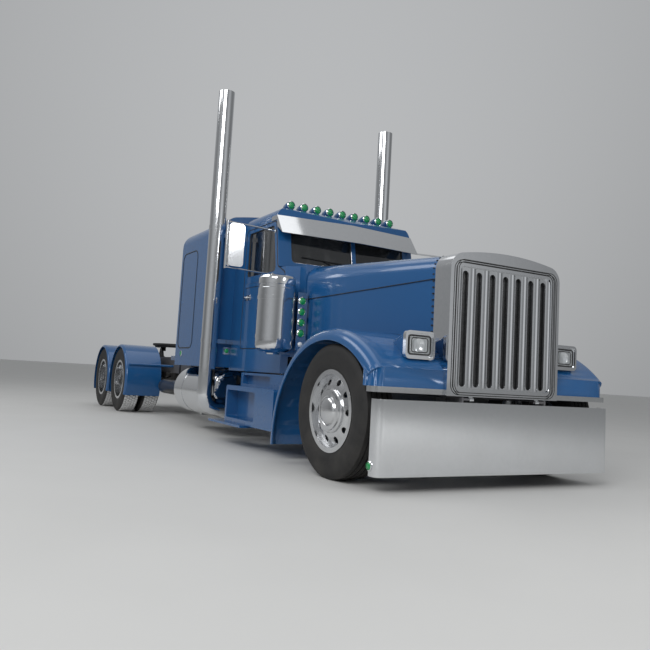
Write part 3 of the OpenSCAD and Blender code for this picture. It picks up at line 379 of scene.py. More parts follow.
class Finishes:
    """All materials, by the record's slot name and a few extra ones."""

    SOLID = (
        Finish(
            "blue_paint", low=(0.008, 0.085, 0.240), high=(0.012, 0.105, 0.300), metal=0.05,
            rough=(0.20, 0.30), grain=700.0, bump=0.00002, coat=0.6, dust=0.06,
        ),
        Finish(
            "chrome", low=(0.70, 0.72, 0.74), high=(0.78, 0.79, 0.81), metal=1.0,
            rough=(0.05, 0.12), grain=30.0, dust=0.06,
        ),
        Finish(
            "polished_wheel", low=(0.66, 0.67, 0.69), high=(0.76, 0.77, 0.78), metal=1.0,
            rough=(0.12, 0.24), grain=60.0, dust=0.15,
        ),
        Finish(
            "frame", low=(0.10, 0.10, 0.11), high=(0.15, 0.15, 0.16), metal=0.3,
            rough=(0.40, 0.60), grain=40.0, bump=0.0002, dust=0.35,
        ),
        Finish(
            "forged_metal", low=(0.018, 0.018, 0.020), high=(0.045, 0.044, 0.044), metal=0.4,
            rough=(0.45, 0.65), grain=60.0, bump=0.0004, dust=0.35,
        ),
        Finish(
            "engine_metal", low=(0.16, 0.17, 0.18), high=(0.24, 0.25, 0.26), metal=0.5,
            rough=(0.45, 0.60), grain=50.0, bump=0.0004, dust=0.2,
        ),
        Finish(
            "core", low=(0.010, 0.010, 0.011), high=(0.030, 0.030, 0.032), metal=0.5,
            rough=(0.50, 0.60), grain=80.0, bump=0.0005,
        ),
        Finish(
            "tread_plate", low=(0.60, 0.61, 0.62), high=(0.72, 0.73, 0.74), metal=1.0,
            rough=(0.22, 0.38), grain=30.0, bump=0.0002, dust=0.2,
        ),
        Finish(
            "black_paint", low=(0.010, 0.010, 0.011), high=(0.018, 0.018, 0.019), metal=0.1,
            rough=(0.20, 0.35), grain=50.0, bump=0.00005, coat=0.5, dust=0.3,
        ),
        Finish(
            "tyre_rubber", low=(0.009, 0.009, 0.010), high=(0.018, 0.018, 0.018), metal=0.0,
            rough=(0.60, 0.80), grain=35.0, bump=0.0006, dust=0.10,
        ),
        # Dark rubber for real seals and wipers, also laid as dark tubes that paint the shade in creases,
        # gaps and grooves
        Finish(
            "seal_rubber", low=(0.010, 0.010, 0.010), high=(0.018, 0.018, 0.018), metal=0.0,
            rough=(0.50, 0.65), grain=60.0, bump=0.0001,
        ),
        Finish(
            "mirror_glass", low=(0.80, 0.82, 0.84), high=(0.84, 0.86, 0.88), metal=1.0,
            rough=(0.01, 0.03), grain=4.0,
        ),
    )

    def __init__(self) -> None:
        """Make every material."""
        self.by_name: dict[str, bpy.types.Material] = {f.name: f.make() for f in self.SOLID}
        self.by_name["smoked_glass"] = self._glass()
        self.by_name["lamp_glass"] = self._lamp_glass()
        self.by_name["green_lens"] = self._lens("green_lens", tint=(0.006, 0.27, 0.075), glow=0.22)
        self.by_name["red_lens"] = self._lens("red_lens", tint=(0.42, 0.008, 0.008), glow=0.15)
        self.by_name["white_lens"] = self._lens("white_lens", tint=(0.80, 0.82, 0.84), glow=0.1)
        self.by_name["leather"] = self._leather()
        self.by_name["grille_screen"] = self._shade_screen()

    def __getitem__(self, name: str) -> bpy.types.Material:
        """The material of a finish."""
        return self.by_name[name]

    @staticmethod
    def _glass() -> bpy.types.Material:
        """Dark tinted window glass with faint pale upright streaks, painted reflections that are also
        rougher like wash marks.

        Returns:
            The material.
        """
        surface = Surface("smoked_glass", {"Alpha": 0.93, "Coat Weight": 1.0, "Coat Roughness": 0.01})
        upright = (1.0, 1.0, 0.06)
        # Pale upright streaks paint reflections into the glass's colour; their rougher film also stands for
        # wash marks
        reflection_and_wash_marks = surface.noise(9.0, detail=5.0, stretch=upright).above(edge=0.52, soft=0.25)
        surface.feed("Base Color", surface.mix(reflection_and_wash_marks, (0.010, 0.012, 0.014), (0.060, 0.062, 0.064)))
        return surface.feed("Roughness", reflection_and_wash_marks.between(0.03, 0.13)).material

    @staticmethod
    def _lamp_glass() -> bpy.types.Material:
        """Clear fluted headlamp glass.

        Returns:
            The material.
        """
        clear = {"Base Color": (0.80, 0.84, 0.86, 1.0), "Alpha": 0.38}
        surface = Surface("lamp_glass", clear | {"Coat Weight": 1.0, "Coat Roughness": 0.02})
        surface.feed("Roughness", surface.noise(3.0).between(0.02, 0.06))
        flutes = (surface.axis(1) * 420.0).sine()
        return surface.bump(flutes, strength=0.5, distance=0.002).material

    @staticmethod
    def _lens(name: str, tint: Vec3, glow: float) -> bpy.types.Material:
        """Faceted lens of a marker lamp.

        Args:
            name: material name.
            tint: lens colour.
            glow: strength of its light.

        Returns:
            The material.
        """
        surface = Surface(name, {"Coat Weight": 1.0, "Coat Roughness": 0.02, "Emission Strength": glow})
        facets = surface.cells(160.0)
        deep = tuple(c * 0.6 for c in tint)
        shade = surface.mix(facets.above(edge=0.0, soft=0.8), deep, tint)
        surface.feed("Base Color", shade).feed("Emission Color", shade)
        surface.feed("Roughness", surface.noise(20.0).between(0.06, 0.12))
        return surface.bump(facets, strength=0.5, distance=0.002).material

    @staticmethod
    def _leather() -> bpy.types.Material:
        """Creased black leather.

        Returns:
            The material.
        """
        surface = Surface("leather", {"Coat Weight": 0.15, "Coat Roughness": 0.4})
        shade = surface.mix(surface.noise(6.0), (0.030, 0.028, 0.030), (0.055, 0.052, 0.055))
        surface.feed("Base Color", shade)
        surface.feed("Roughness", surface.noise(4.0).between(0.42, 0.62))
        return surface.bump(surface.cells(180.0), strength=0.5, distance=0.0012).material

    @staticmethod
    def _shade_screen() -> bpy.types.Material:
        """Dark punched screen behind the grille bars, whose near-black holes paint the shade in the grille's
        slots.

        Returns:
            The material.
        """
        surface = Surface("grille_screen", {"Metallic": 0.6})
        # Near-black holes are painted shade behind the grille bars
        web = surface.cells(140.0).above(edge=0.28, soft=0.12)
        surface.feed("Base Color", surface.mix(web, (0.002, 0.002, 0.002), (0.07, 0.071, 0.073)))
        surface.feed("Roughness", web.between(0.6, 0.4))
        return surface.bump(web, strength=0.8, distance=0.002).material


# Geometry node building


class GeoTree:
    """A geometry node tree that ends in realised instances of one material."""

    def __init__(self, name: str) -> None:
        """Start an empty tree.

        Args:
            name: name of the tree.
        """
        self.tree = bpy.data.node_groups.new(name, "GeometryNodeTree")
        sockets = self.tree.interface
        sockets.new_socket("Geometry", in_out="INPUT", socket_type="NodeSocketGeometry")
        sockets.new_socket("Geometry", in_out="OUTPUT", socket_type="NodeSocketGeometry")
        self.source = self.tree.nodes.new("NodeGroupInput")
        self.sink = self.tree.nodes.new("NodeGroupOutput")
        self.identifiers: dict[str, str] = {}

    def named(self, name: str, kind: str = "NodeSocketFloat") -> bpy.types.NodeSocket:
        """Add a named input.

        Args:
            name: what the input is called.
            kind: socket type.

        Returns:
            The socket that carries it inside the tree.
        """
        item = self.tree.interface.new_socket(name, in_out="INPUT", socket_type=kind)
        self.identifiers[name] = item.identifier
        return self.source.outputs[name]

    def node(self, kind: str, links: dict[str, object] | None = None) -> bpy.types.Node:
        """Add a node.

        Args:
            kind: node type name.
            links: input names with sockets or constants.

        Returns:
            The new node.
        """
        made = self.tree.nodes.new(kind)
        for key, value in (links or {}).items():
            if isinstance(value, bpy.types.NodeSocket):
                self.tree.links.new(value, made.inputs[key])
            else:
                made.inputs[key].default_value = value
        return made

    def close(self, instances: bpy.types.NodeSocket, material: bpy.types.Material) -> None:
        """Realise, set the material and end the tree.

        Args:
            instances: geometry to finish.
            material: what it is made of.
        """
        real = self.node("GeometryNodeRealizeInstances", {"Geometry": instances})
        painted = self.node("GeometryNodeSetMaterial", {"Geometry": real.outputs[0], "Material": material})
        self.tree.links.new(painted.outputs[0], self.sink.inputs[0])

    def bake(self, name: str, points: list[Vec3], values: dict[str, object]) -> bpy.types.Object:
        """Run the tree on points and keep the result as a plain mesh.

        Args:
            name: name of the piece.
            points: places that the tree works on.
            values: named inputs.

        Returns:
            The new mesh object.
        """
        seed = bpy.data.meshes.new(name + "_points")
        seed.from_pydata(points, [], [])
        carrier = bpy.data.objects.new(name + "_carrier", seed)
        bpy.context.scene.collection.objects.link(carrier)
        modifier = carrier.modifiers.new("nodes", "NODES")
        modifier.node_group = self.tree
        for key, value in values.items():
            modifier[self.identifiers[key]] = value
        graph = bpy.context.evaluated_depsgraph_get()
        mesh = bpy.data.meshes.new_from_object(carrier.evaluated_get(graph))
        bpy.data.objects.remove(carrier)
        made = bpy.data.objects.new(name, mesh)
        bpy.context.scene.collection.objects.link(made)
        return made


class Repeats:
    """The node trees for what repeats on the truck."""

    CAP_SEGMENTS = 12
    CAP_RINGS = 5
    CAP_SHAPE = (0.8, 0.8, 0.55)
    HALF = (0.5, 0.5, 0.5)
    LOZENGE_SHARES = (0.42, 0.12)
    LOZENGE_HEIGHT = 0.002
    TURNS = {
        Axis.X: (0.0, math.pi / 2, 0.0),
        Axis.Y: (-math.pi / 2, 0.0, 0.0),
        Axis.Z: (0.0, 0.0, 0.0),
    }
    UPSIDE_DOWN = (math.pi, 0.0, 0.0)

    def __init__(self, finishes: Finishes) -> None:
        """Keep the finishes at hand."""
        self.finishes = finishes

    def studs(
        self,
        name: str,
        points: list[Vec3],
        facing: Axis,
        radius: float,
        height: float,
        sides: int,
        slot: str,
    ) -> bpy.types.Object:
        """Short round or hexagonal studs with a domed cap.

        Args:
            name: name of the piece.
            points: places of the studs' feet.
            facing: way they stand, with the sign of height.
            radius: stud radius.
            height: stud height, negative to face the other way.
            sides: faces round the stud.
            slot: finish.

        Returns:
            The joined studs.
        """
        tree = GeoTree(name)
        size = tree.named("Radius")
        tall = tree.named("Height")
        turn = tree.named("Turn", "NodeSocketVector")
        count = tree.named("Sides", "NodeSocketInt")
        barrel = tree.node("GeometryNodeMeshCylinder", {"Vertices": count, "Radius": size, "Depth": tall})
        dome = {"Segments": self.CAP_SEGMENTS, "Rings": self.CAP_RINGS, "Radius": size}
        cap = tree.node("GeometryNodeMeshUVSphere", dome)
        flat = tree.node("GeometryNodeTransform", {"Geometry": cap.outputs[0], "Scale": self.CAP_SHAPE})
        lift = tree.node("ShaderNodeCombineXYZ", {"Z": tall})
        half = tree.node("ShaderNodeVectorMath", {0: lift.outputs[0], 1: self.HALF})
        half.operation = "MULTIPLY"
        lifted = {"Geometry": flat.outputs[0], "Translation": half.outputs[0]}
        raised = tree.node("GeometryNodeTransform", lifted)
        both = tree.tree.nodes.new("GeometryNodeJoinGeometry")
        for part in (barrel.outputs[0], raised.outputs[0]):
            tree.tree.links.new(part, both.inputs[0])
        places = {"Points": tree.source.outputs[0], "Instance": both.outputs[0], "Rotation": turn}
        put = tree.node("GeometryNodeInstanceOnPoints", places)
        tree.close(put.outputs[0], self.finishes[slot])
        angles = self.TURNS[facing]
        if height < 0:
            angles = self.UPSIDE_DOWN if facing is Axis.Z else tuple(-a for a in angles)
        values = {"Radius": radius, "Height": abs(height), "Turn": angles, "Sides": sides}
        return self._done(tree.bake(name, points, values), slot)

    def blocks(
        self, name: str, points: list[Vec3], size: Vec3, start: float, step: float, slot: str
    ) -> bpy.types.Object:
        """Boxes turned a step further about Y from point to point.

        Args:
            name: name of the piece.
            points: centres.
            size: box size.
            start: turn of the first box, in radians.
            step: turn from one box to the next, in radians.
            slot: finish.

        Returns:
            The joined boxes.
        """
        tree = GeoTree(name)
        extent = tree.named("Size", "NodeSocketVector")
        advance = tree.named("Step")
        first = tree.named("Start")
        cube = tree.node("GeometryNodeMeshCube", {"Size": extent})
        index = tree.node("GeometryNodeInputIndex")
        angle = tree.node("ShaderNodeMath", {0: index.outputs[0], 1: advance, 2: first})
        angle.operation = "MULTIPLY_ADD"
        turn = tree.node("ShaderNodeCombineXYZ", {"Y": angle.outputs[0]})
        cubes, turns = cube.outputs[0], turn.outputs[0]
        places = {"Points": tree.source.outputs[0], "Instance": cubes, "Rotation": turns}
        put = tree.node("GeometryNodeInstanceOnPoints", places)
        tree.close(put.outputs[0], self.finishes[slot])
        return self._done(tree.bake(name, points, {"Size": size, "Step": step, "Start": start}), slot)

    def diamonds(self, name: str, low: Vec3, high: Vec3, pitch: float, slot: str) -> bpy.types.Object:
        """Raised lozenges of a tread plate on a level face.

        Args:
            name: name of the piece.
            low: lowest corner of the face.
            high: highest corner of the face.
            pitch: distance between lozenges.
            slot: finish.

        Returns:
            The joined lozenges.
        """
        tree = GeoTree(name)
        extent = tree.named("Size", "NodeSocketVector")
        bar = tree.node("GeometryNodeMeshIcoSphere", {"Radius": 1.0, "Subdivisions": 1})
        shaped = tree.node("GeometryNodeTransform", {"Geometry": bar.outputs[0], "Scale": extent})
        index = tree.node("GeometryNodeInputIndex")
        odd = tree.node("ShaderNodeMath", {0: index.outputs[0], 1: 2.0})
        odd.operation = "MODULO"
        angle = tree.node("ShaderNodeMath", {0: odd.outputs[0], 1: math.pi / 2, 2: math.pi / 4})
        angle.operation = "MULTIPLY_ADD"
        turn = tree.node("ShaderNodeCombineXYZ", {"Z": angle.outputs[0]})
        bars, turns = shaped.outputs[0], turn.outputs[0]
        places = {"Points": tree.source.outputs[0], "Instance": bars, "Rotation": turns}
        put = tree.node("GeometryNodeInstanceOnPoints", places)
        tree.close(put.outputs[0], self.finishes[slot])
        # An odd number across makes neighbours lie crosswise
        along = int((high[0] - low[0]) / pitch)
        across = int((high[1] - low[1]) / pitch) | 1
        step_x = (high[0] - low[0]) / along
        step_y = (high[1] - low[1]) / across
        points = [
            (low[0] + (i + 0.5) * step_x, low[1] + (j + 0.5) * step_y, high[2])
            for i in range(along)
            for j in range(across)
        ]
        length, width = (pitch * share for share in self.LOZENGE_SHARES)
        return self._done(tree.bake(name, points, {"Size": (length, width, self.LOZENGE_HEIGHT)}), slot)

    @staticmethod
    def _done(made: bpy.types.Object, slot: str) -> bpy.types.Object:
        """Smooth a baked piece and name its slot.

        Args:
            made: the piece.
            slot: its finish.

        Returns:
            The same piece.
        """
        for polygon in made.data.polygons:
            polygon.use_smooth = True
        made.data.set_sharp_from_angle(angle=math.radians(SMALL_SHARP))
        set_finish(made, RECORD_SLOT.get(slot, slot))
        LOG.info("piece %s", made.name)
        return made


# Mesh building


class Forms:
    """Plain mesh pieces."""

    # Edges sharper than these stay sharp, in degrees
    BOX_SHARP = 50.0
    RING_SHARP = 28.0
    TUBE_SHARP = 60.0
    CUSHION_SHARP = 80.0

    EDGE_STEPS = 3
    TUBE_STEPS = 3
    CUSHION_CUTS = 11
    CUSHION_EDGE = 0.45
    CUSHION_FILL = 0.8
    SWELL_AT_EDGE = 0.12
    PIPING = 0.004
    # A point of a cube from -1 to 1 lies on a face past this
    ON_FACE = 0.999
    ON_SEAM = 1e-5
    NO_LENGTH = 1e-9

    def __init__(self, finishes: Finishes) -> None:
        """Keep the finishes at hand."""
        self.finishes = finishes

    def keep(
        self, name: str, mesh: bmesh.types.BMesh, slot: str, angle: float = SMALL_SHARP
    ) -> bpy.types.Object:
        """Turn a bmesh into a finished piece.

        Args:
            name: name of the piece.
            mesh: its geometry, which is freed.
            slot: finish.
            angle: edges sharper than this stay sharp, in degrees.

        Returns:
            The new mesh object.
        """
        bmesh.ops.recalc_face_normals(mesh, faces=mesh.faces)
        data = bpy.data.meshes.new(name)
        mesh.to_mesh(data)
        mesh.free()
        for polygon in data.polygons:
            polygon.use_smooth = True
        data.set_sharp_from_angle(angle=math.radians(angle))
        data.materials.append(self.finishes[slot])
        made = bpy.data.objects.new(name, data)
        bpy.context.scene.collection.objects.link(made)
        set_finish(made, RECORD_SLOT.get(slot, slot))
        LOG.info("piece %s", made.name)
        return made

    def box(
        self, name: str, low: Vec3, high: Vec3, edge: float, slot: str, turn: Matrix | None = None
    ) -> bpy.types.Object:
        """A box with rounded edges.

        Args:
            name: name of the piece.
            low: lowest corner.
            high: highest corner.
            edge: edge radius.
            slot: finish.
            turn: turning about the box's middle.

        Returns:
            The box.
        """
        mesh = bmesh.new()
        bmesh.ops.create_cube(mesh, size=1.0)
        size = [h - l for l, h in zip(low, high)]
        bmesh.ops.scale(mesh, vec=size, verts=mesh.verts)
        edges = list(mesh.edges)
        bmesh.ops.bevel(
            mesh, geom=edges, offset=edge, segments=self.EDGE_STEPS, profile=0.5, affect="EDGES"
        )
        if turn is not None:
            bmesh.ops.transform(mesh, matrix=turn, verts=mesh.verts)
        bmesh.ops.translate(mesh, vec=[(h + l) / 2 for l, h in zip(low, high)], verts=mesh.verts)
        return self.keep(name, mesh, slot, self.BOX_SHARP)

    def revolve(
        self,
        name: str,
        profile: list[tuple[float, float]],
        centre: Vec3,
        steps: int,
        slot: str,
        axis: Axis = Axis.Y,
    ) -> bpy.types.Object:
        """A closed profile turned about an axis through a point.

        Args:
            name: name of the piece.
            profile: closed outline as radius and offset along the axis.
            centre: point on the axis.
            steps: divisions of the turn.
            slot: finish.
            axis: axis of the turn.

        Returns:
            The ring.
        """
        mesh = bmesh.new()
        rings = []
        for k in range(steps):
            angle = math.tau * k / steps
            ring = []
            for radius, offset in profile:
                a = radius * math.cos(angle)
                b = radius * math.sin(angle)
                point = {Axis.X: (offset, a, b), Axis.Y: (a, offset, b), Axis.Z: (a, b, offset)}[axis]
                ring.append(mesh.verts.new(Vector(centre) + Vector(point)))
            rings.append(ring)
        for k in range(steps):
            here, there = rings[k], rings[(k + 1) % steps]
            for i in range(len(profile)):
                j = (i + 1) % len(profile)
                mesh.faces.new((here[i], here[j], there[j], there[i]))
        return self.keep(name, mesh, slot, self.RING_SHARP)

    def tube(
        self, name: str, path: list[Vec3], radius: float, slot: str, closed: bool = False
    ) -> bpy.types.Object:
        """A round tube along points.

        Args:
            name: name of the piece.
            path: points along its middle.
            radius: tube radius.
            slot: finish.
            closed: whether the ends meet.

        Returns:
            The tube.
        """
        curve = bpy.data.curves.new(name, "CURVE")
        curve.dimensions = "3D"
        curve.bevel_depth = radius
        curve.bevel_resolution = self.TUBE_STEPS
        curve.use_fill_caps = True
        spline = curve.splines.new("POLY")
        spline.points.add(len(path) - 1)
        for point, place in zip(spline.points, path):
            point.co = (*place, 1.0)
        spline.use_cyclic_u = closed
        carrier = bpy.data.objects.new(name + "_curve", curve)
        bpy.context.scene.collection.objects.link(carrier)
        graph = bpy.context.evaluated_depsgraph_get()
        data = bpy.data.meshes.new_from_object(carrier.evaluated_get(graph))
        bpy.data.objects.remove(carrier)
        mesh = bmesh.new()
        mesh.from_mesh(data)
        bpy.data.meshes.remove(data)
        return self.keep(name, mesh, slot, self.TUBE_SHARP)

    def cushion(
        self, name: str, low: Vec3, high: Vec3, puff: float, slot: str, turn: Matrix | None = None
    ) -> list[bpy.types.Object]:
        """A stuffed block with crowned faces, a round edge and a piped seam.

        Args:
            name: name of the piece.
            low: lowest corner.
            high: highest corner.
            puff: how far the faces swell.
            slot: finish.
            turn: turning about the block's middle.

        Returns:
            The cushion and its piping.
        """
        mesh = bmesh.new()
        bmesh.ops.create_cube(mesh, size=2.0)
        bmesh.ops.subdivide_edges(mesh, edges=list(mesh.edges), cuts=self.CUSHION_CUTS, use_grid_fill=True)
        half = Vector([(h - l) / 2 for l, h in zip(low, high)])
        edge = min(half) * self.CUSHION_EDGE
        thin = min(range(3), key=lambda i: half[i])
        seam = [
            vert
            for vert in mesh.verts
            if abs(vert.co[thin]) < self.ON_SEAM and max(abs(c) for c in vert.co) > self.ON_FACE
        ]
        seam.sort(key=lambda vert: math.atan2(vert.co[(thin + 2) % 3], vert.co[(thin + 1) % 3]))
        for vert in mesh.verts:
            vert.co = self._stuffed(vert.co, half, edge, puff)
        if turn is not None:
            bmesh.ops.transform(mesh, matrix=turn, verts=mesh.verts)
        bmesh.ops.translate(mesh, vec=[(h + l) / 2 for l, h in zip(low, high)], verts=mesh.verts)
        path = [tuple(vert.co) for vert in seam]
        body = self.keep(name, mesh, slot, self.CUSHION_SHARP)
        return [body, self.tube(name + "_piping", path, self.PIPING, slot, closed=True)]

    def _stuffed(self, point: Vector, half: Vector, edge: float, puff: float) -> Vector:
        """Where a point of a cube comes to lie on a stuffed block.

        Args:
            point: point on a cube from -1 to 1.
            half: half sizes of the block.
            edge: radius of its edges.
            puff: how far its faces swell.

        Returns:
            The point on the block.
        """
        flat = Vector([c * h for c, h in zip(point, half)])
        core = Vector([max(edge - h, min(h - edge, f)) for f, h in zip(flat, half)])
        away = flat - core
        rounding = away.normalized() * edge if away.length > self.NO_LENGTH else Vector()
        swell = math.prod(
            1.0 if abs(c) >= self.ON_FACE else math.cos(c * math.pi / 2) + self.SWELL_AT_EDGE for c in point
        )
        normal = Vector([round(c) if abs(c) > self.ON_FACE else 0.0 for c in point])
        return core + rounding + normal * puff * min(swell, 1.0) - normal * puff


class Dresser:
    """Copies of CAD nodes with clean faces, soft edges and their finish."""

    CORNERS = 4
    BEVEL_STEPS = 2
    # Faces that differ less than this become one, in degrees
    FLAT_WITHIN = 0.6
    # Edges sharper than these stay sharp or are bevelled, in degrees
    SHARP = 50.0
    BEVEL_OVER = 32.0

    EDGE_DEFAULT = 0.003
    EDGES = {
        "bumper": 0.0025,
        "cab_shell": 0.006,
        "sleeper": 0.012,
        "hood": 0.003,
        "front_fenders": 0.003,
        "grille_shell": 0.008,
        "grille_bars": 0.002,
        "fuel_tanks": 0.003,
        "step_boxes": 0.008,
        "windscreen": 0.001,
        "door_glass_left": 0.001,
        "door_glass_right": 0.001,
        "headlamp_lenses": 0.002,
        "deck_plate": 0.001,
        "fifth_wheel_plate": 0.006,
        "engine": 0.02,
        "mirror_left": 0.006,
        "mirror_right": 0.006,
        "visor": 0.0015,
        "rear_fenders": 0.0015,
        "headlamp_bezels": 0.004,
        "marker_lamps": 0.0,
        "roof_lamp_housings": 0.002,
        "headlamp_pods": 0.003,
        "frame": 0.002,
        "fender_strips": 0.005,
    }

    def __init__(self, finishes: Finishes) -> None:
        """Read each node's slot and body from the record.

        Args:
            finishes: the materials.
        """
        self.finishes = finishes
        record = frame["record"]
        self.slots = {part["node"]: part["material_slot"] for part in record["subparts"]}
        self.bodies = {n: body for body, nodes in record["behaviour"]["bodies"].items() for n in nodes}

    def dress(self, node: str, keep: Callable[[Vector], bool] | None = None) -> bpy.types.Object:
        """Make the finished copy of one node.

        Args:
            node: CAD node name.
            keep: test of a solid's middle; solids that fail it are left out.

        Returns:
            The copy, riding on the node's body in the node's place.
        """
        mesh = bmesh.new()
        mesh.from_mesh(frame["nodes"][node].data)
        bmesh.ops.remove_doubles(mesh, verts=mesh.verts, dist=WELD)
        if keep is not None:
            drop = [v for island in islands(mesh) if not keep(middle(island)) for v in island]
            bmesh.ops.delete(mesh, geom=drop, context="VERTS")
        flat = math.radians(self.FLAT_WITHIN)
        bmesh.ops.dissolve_limit(mesh, angle_limit=flat, verts=mesh.verts, edges=mesh.edges)
        # A bevel can fill the hollows of a face with many corners, so such faces are cut up before it.
        many_cornered = [face for face in mesh.faces if len(face.verts) > self.CORNERS]
        bmesh.ops.triangulate(mesh, faces=many_cornered, ngon_method="EAR_CLIP")
        data = bpy.data.meshes.new(node + "_skin")
        mesh.to_mesh(data)
        mesh.free()
        for polygon in data.polygons:
            polygon.use_smooth = True
        data.set_sharp_from_angle(angle=math.radians(self.SHARP))
        carrier = bpy.data.objects.new(node + "_carrier", data)
        bpy.context.scene.collection.objects.link(carrier)
        width = self.EDGES.get(node, self.EDGE_DEFAULT)
        if width > 0:
            bevel = carrier.modifiers.new("edge", "BEVEL")
            bevel.width = width
            bevel.segments = self.BEVEL_STEPS
            bevel.limit_method = "ANGLE"
            bevel.angle_limit = math.radians(self.BEVEL_OVER)
            bevel.miter_outer = "MITER_ARC"
        weighted = carrier.modifiers.new("normals", "WEIGHTED_NORMAL")
        weighted.keep_sharp = True
        graph = bpy.context.evaluated_depsgraph_get()
        plain = bpy.data.meshes.new_from_object(carrier.evaluated_get(graph))
        bpy.data.objects.remove(carrier)
        plain.materials.clear()
        plain.materials.append(self.finishes[self.slots[node]])
        made = bpy.data.objects.new(node + "_look", plain)
        bpy.context.scene.collection.objects.link(made)
        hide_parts(node)
        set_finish(made, self.slots[node])
        LOG.info("dressed %s", node)
        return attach(made, self.bodies[node])


def skin_at(node: str, start: Vec3, way: Vec3) -> Vector:
    """Where a ray first meets a CAD node.

    Args:
        node: CAD node name.
        start: start of the ray.
        way: direction of the ray.

    Returns:
        The point on the node's surface.
    """
    data = frame["nodes"][node].data
    faces = [tuple(p.vertices) for p in data.polygons]
    hit = BVHTree.FromPolygons([v.co for v in data.vertices], faces).ray_cast(Vector(start), Vector(way))
    return hit[0]


def islands(mesh: bmesh.types.BMesh) -> list[list[bmesh.types.BMVert]]:
    """Connected groups of a mesh's vertices.

    Args:
        mesh: mesh to split.

    Returns:
        One list of vertices per group.
    """
    groups = []
    seen: set[int] = set()
    mesh.verts.index_update()
    for start in mesh.verts:
        if start.index in seen:
            continue
        group, queue = [], [start]
        seen.add(start.index)
        while queue:
            vert = queue.pop()
            group.append(vert)
            for edge in vert.link_edges:
                other = edge.other_vert(vert)
                if other.index not in seen:
                    seen.add(other.index)
                    queue.append(other)
        groups.append(group)
    return groups


def middle(group: list[bmesh.types.BMVert]) -> Vector:
    """Middle of the box round some vertices.

    Args:
        group: the vertices.

    Returns:
        The box's centre.
    """
    lows = [min(v.co[i] for v in group) for i in range(3)]
    highs = [max(v.co[i] for v in group) for i in range(3)]
    return Vector([(l + h) / 2 for l, h in zip(lows, highs)])


def node_islands(node: str) -> list[tuple[Vector, Vector]]:
    """Boxes of a CAD node's separate solids.

    Args:
        node: CAD node name.

    Returns:
        Lowest and highest corners of each solid.
    """
    mesh = bmesh.new()
    mesh.from_mesh(frame["nodes"][node].data)
    bmesh.ops.remove_doubles(mesh, verts=mesh.verts, dist=WELD)
    boxes = []
    for group in islands(mesh):
        lows = Vector([min(v.co[i] for v in group) for i in range(3)])
        highs = Vector([max(v.co[i] for v in group) for i in range(3)])
        boxes.append((lows, highs))
    mesh.free()
    return boxes


def face_loops(node: str, facing: Vec3) -> list[list[Vector]]:
    """Outlines of a CAD node's faces that look one way.

    Args:
        node: CAD node name.
        facing: direction that the faces look.

    Returns:
        Closed chains of points.
    """
    mesh = bmesh.new()
    mesh.from_mesh(frame["nodes"][node].data)
    bmesh.ops.remove_doubles(mesh, verts=mesh.verts, dist=WELD)
    mesh.normal_update()
    chosen = {f for f in mesh.faces if f.normal.dot(Vector(facing)) > FACING}
    # A dict keeps the order of the edges, so that every run finds the same loops
    rim = dict.fromkeys(e for e in mesh.edges if sum(f in chosen for f in e.link_faces) == 1)
    loops = []
    while rim:
        edge, _ = rim.popitem()
        first, last = edge.verts
        chain = [first, last]
        while chain[-1] is not first:
            step = next((e for e in chain[-1].link_edges if e in rim), None)
            if step is None:
                break
            del rim[step]
            chain.append(step.other_vert(chain[-1]))
        loops.append([v.co.copy() for v in chain[:-1]])
    mesh.free()
    return loops


# Sub-assemblies


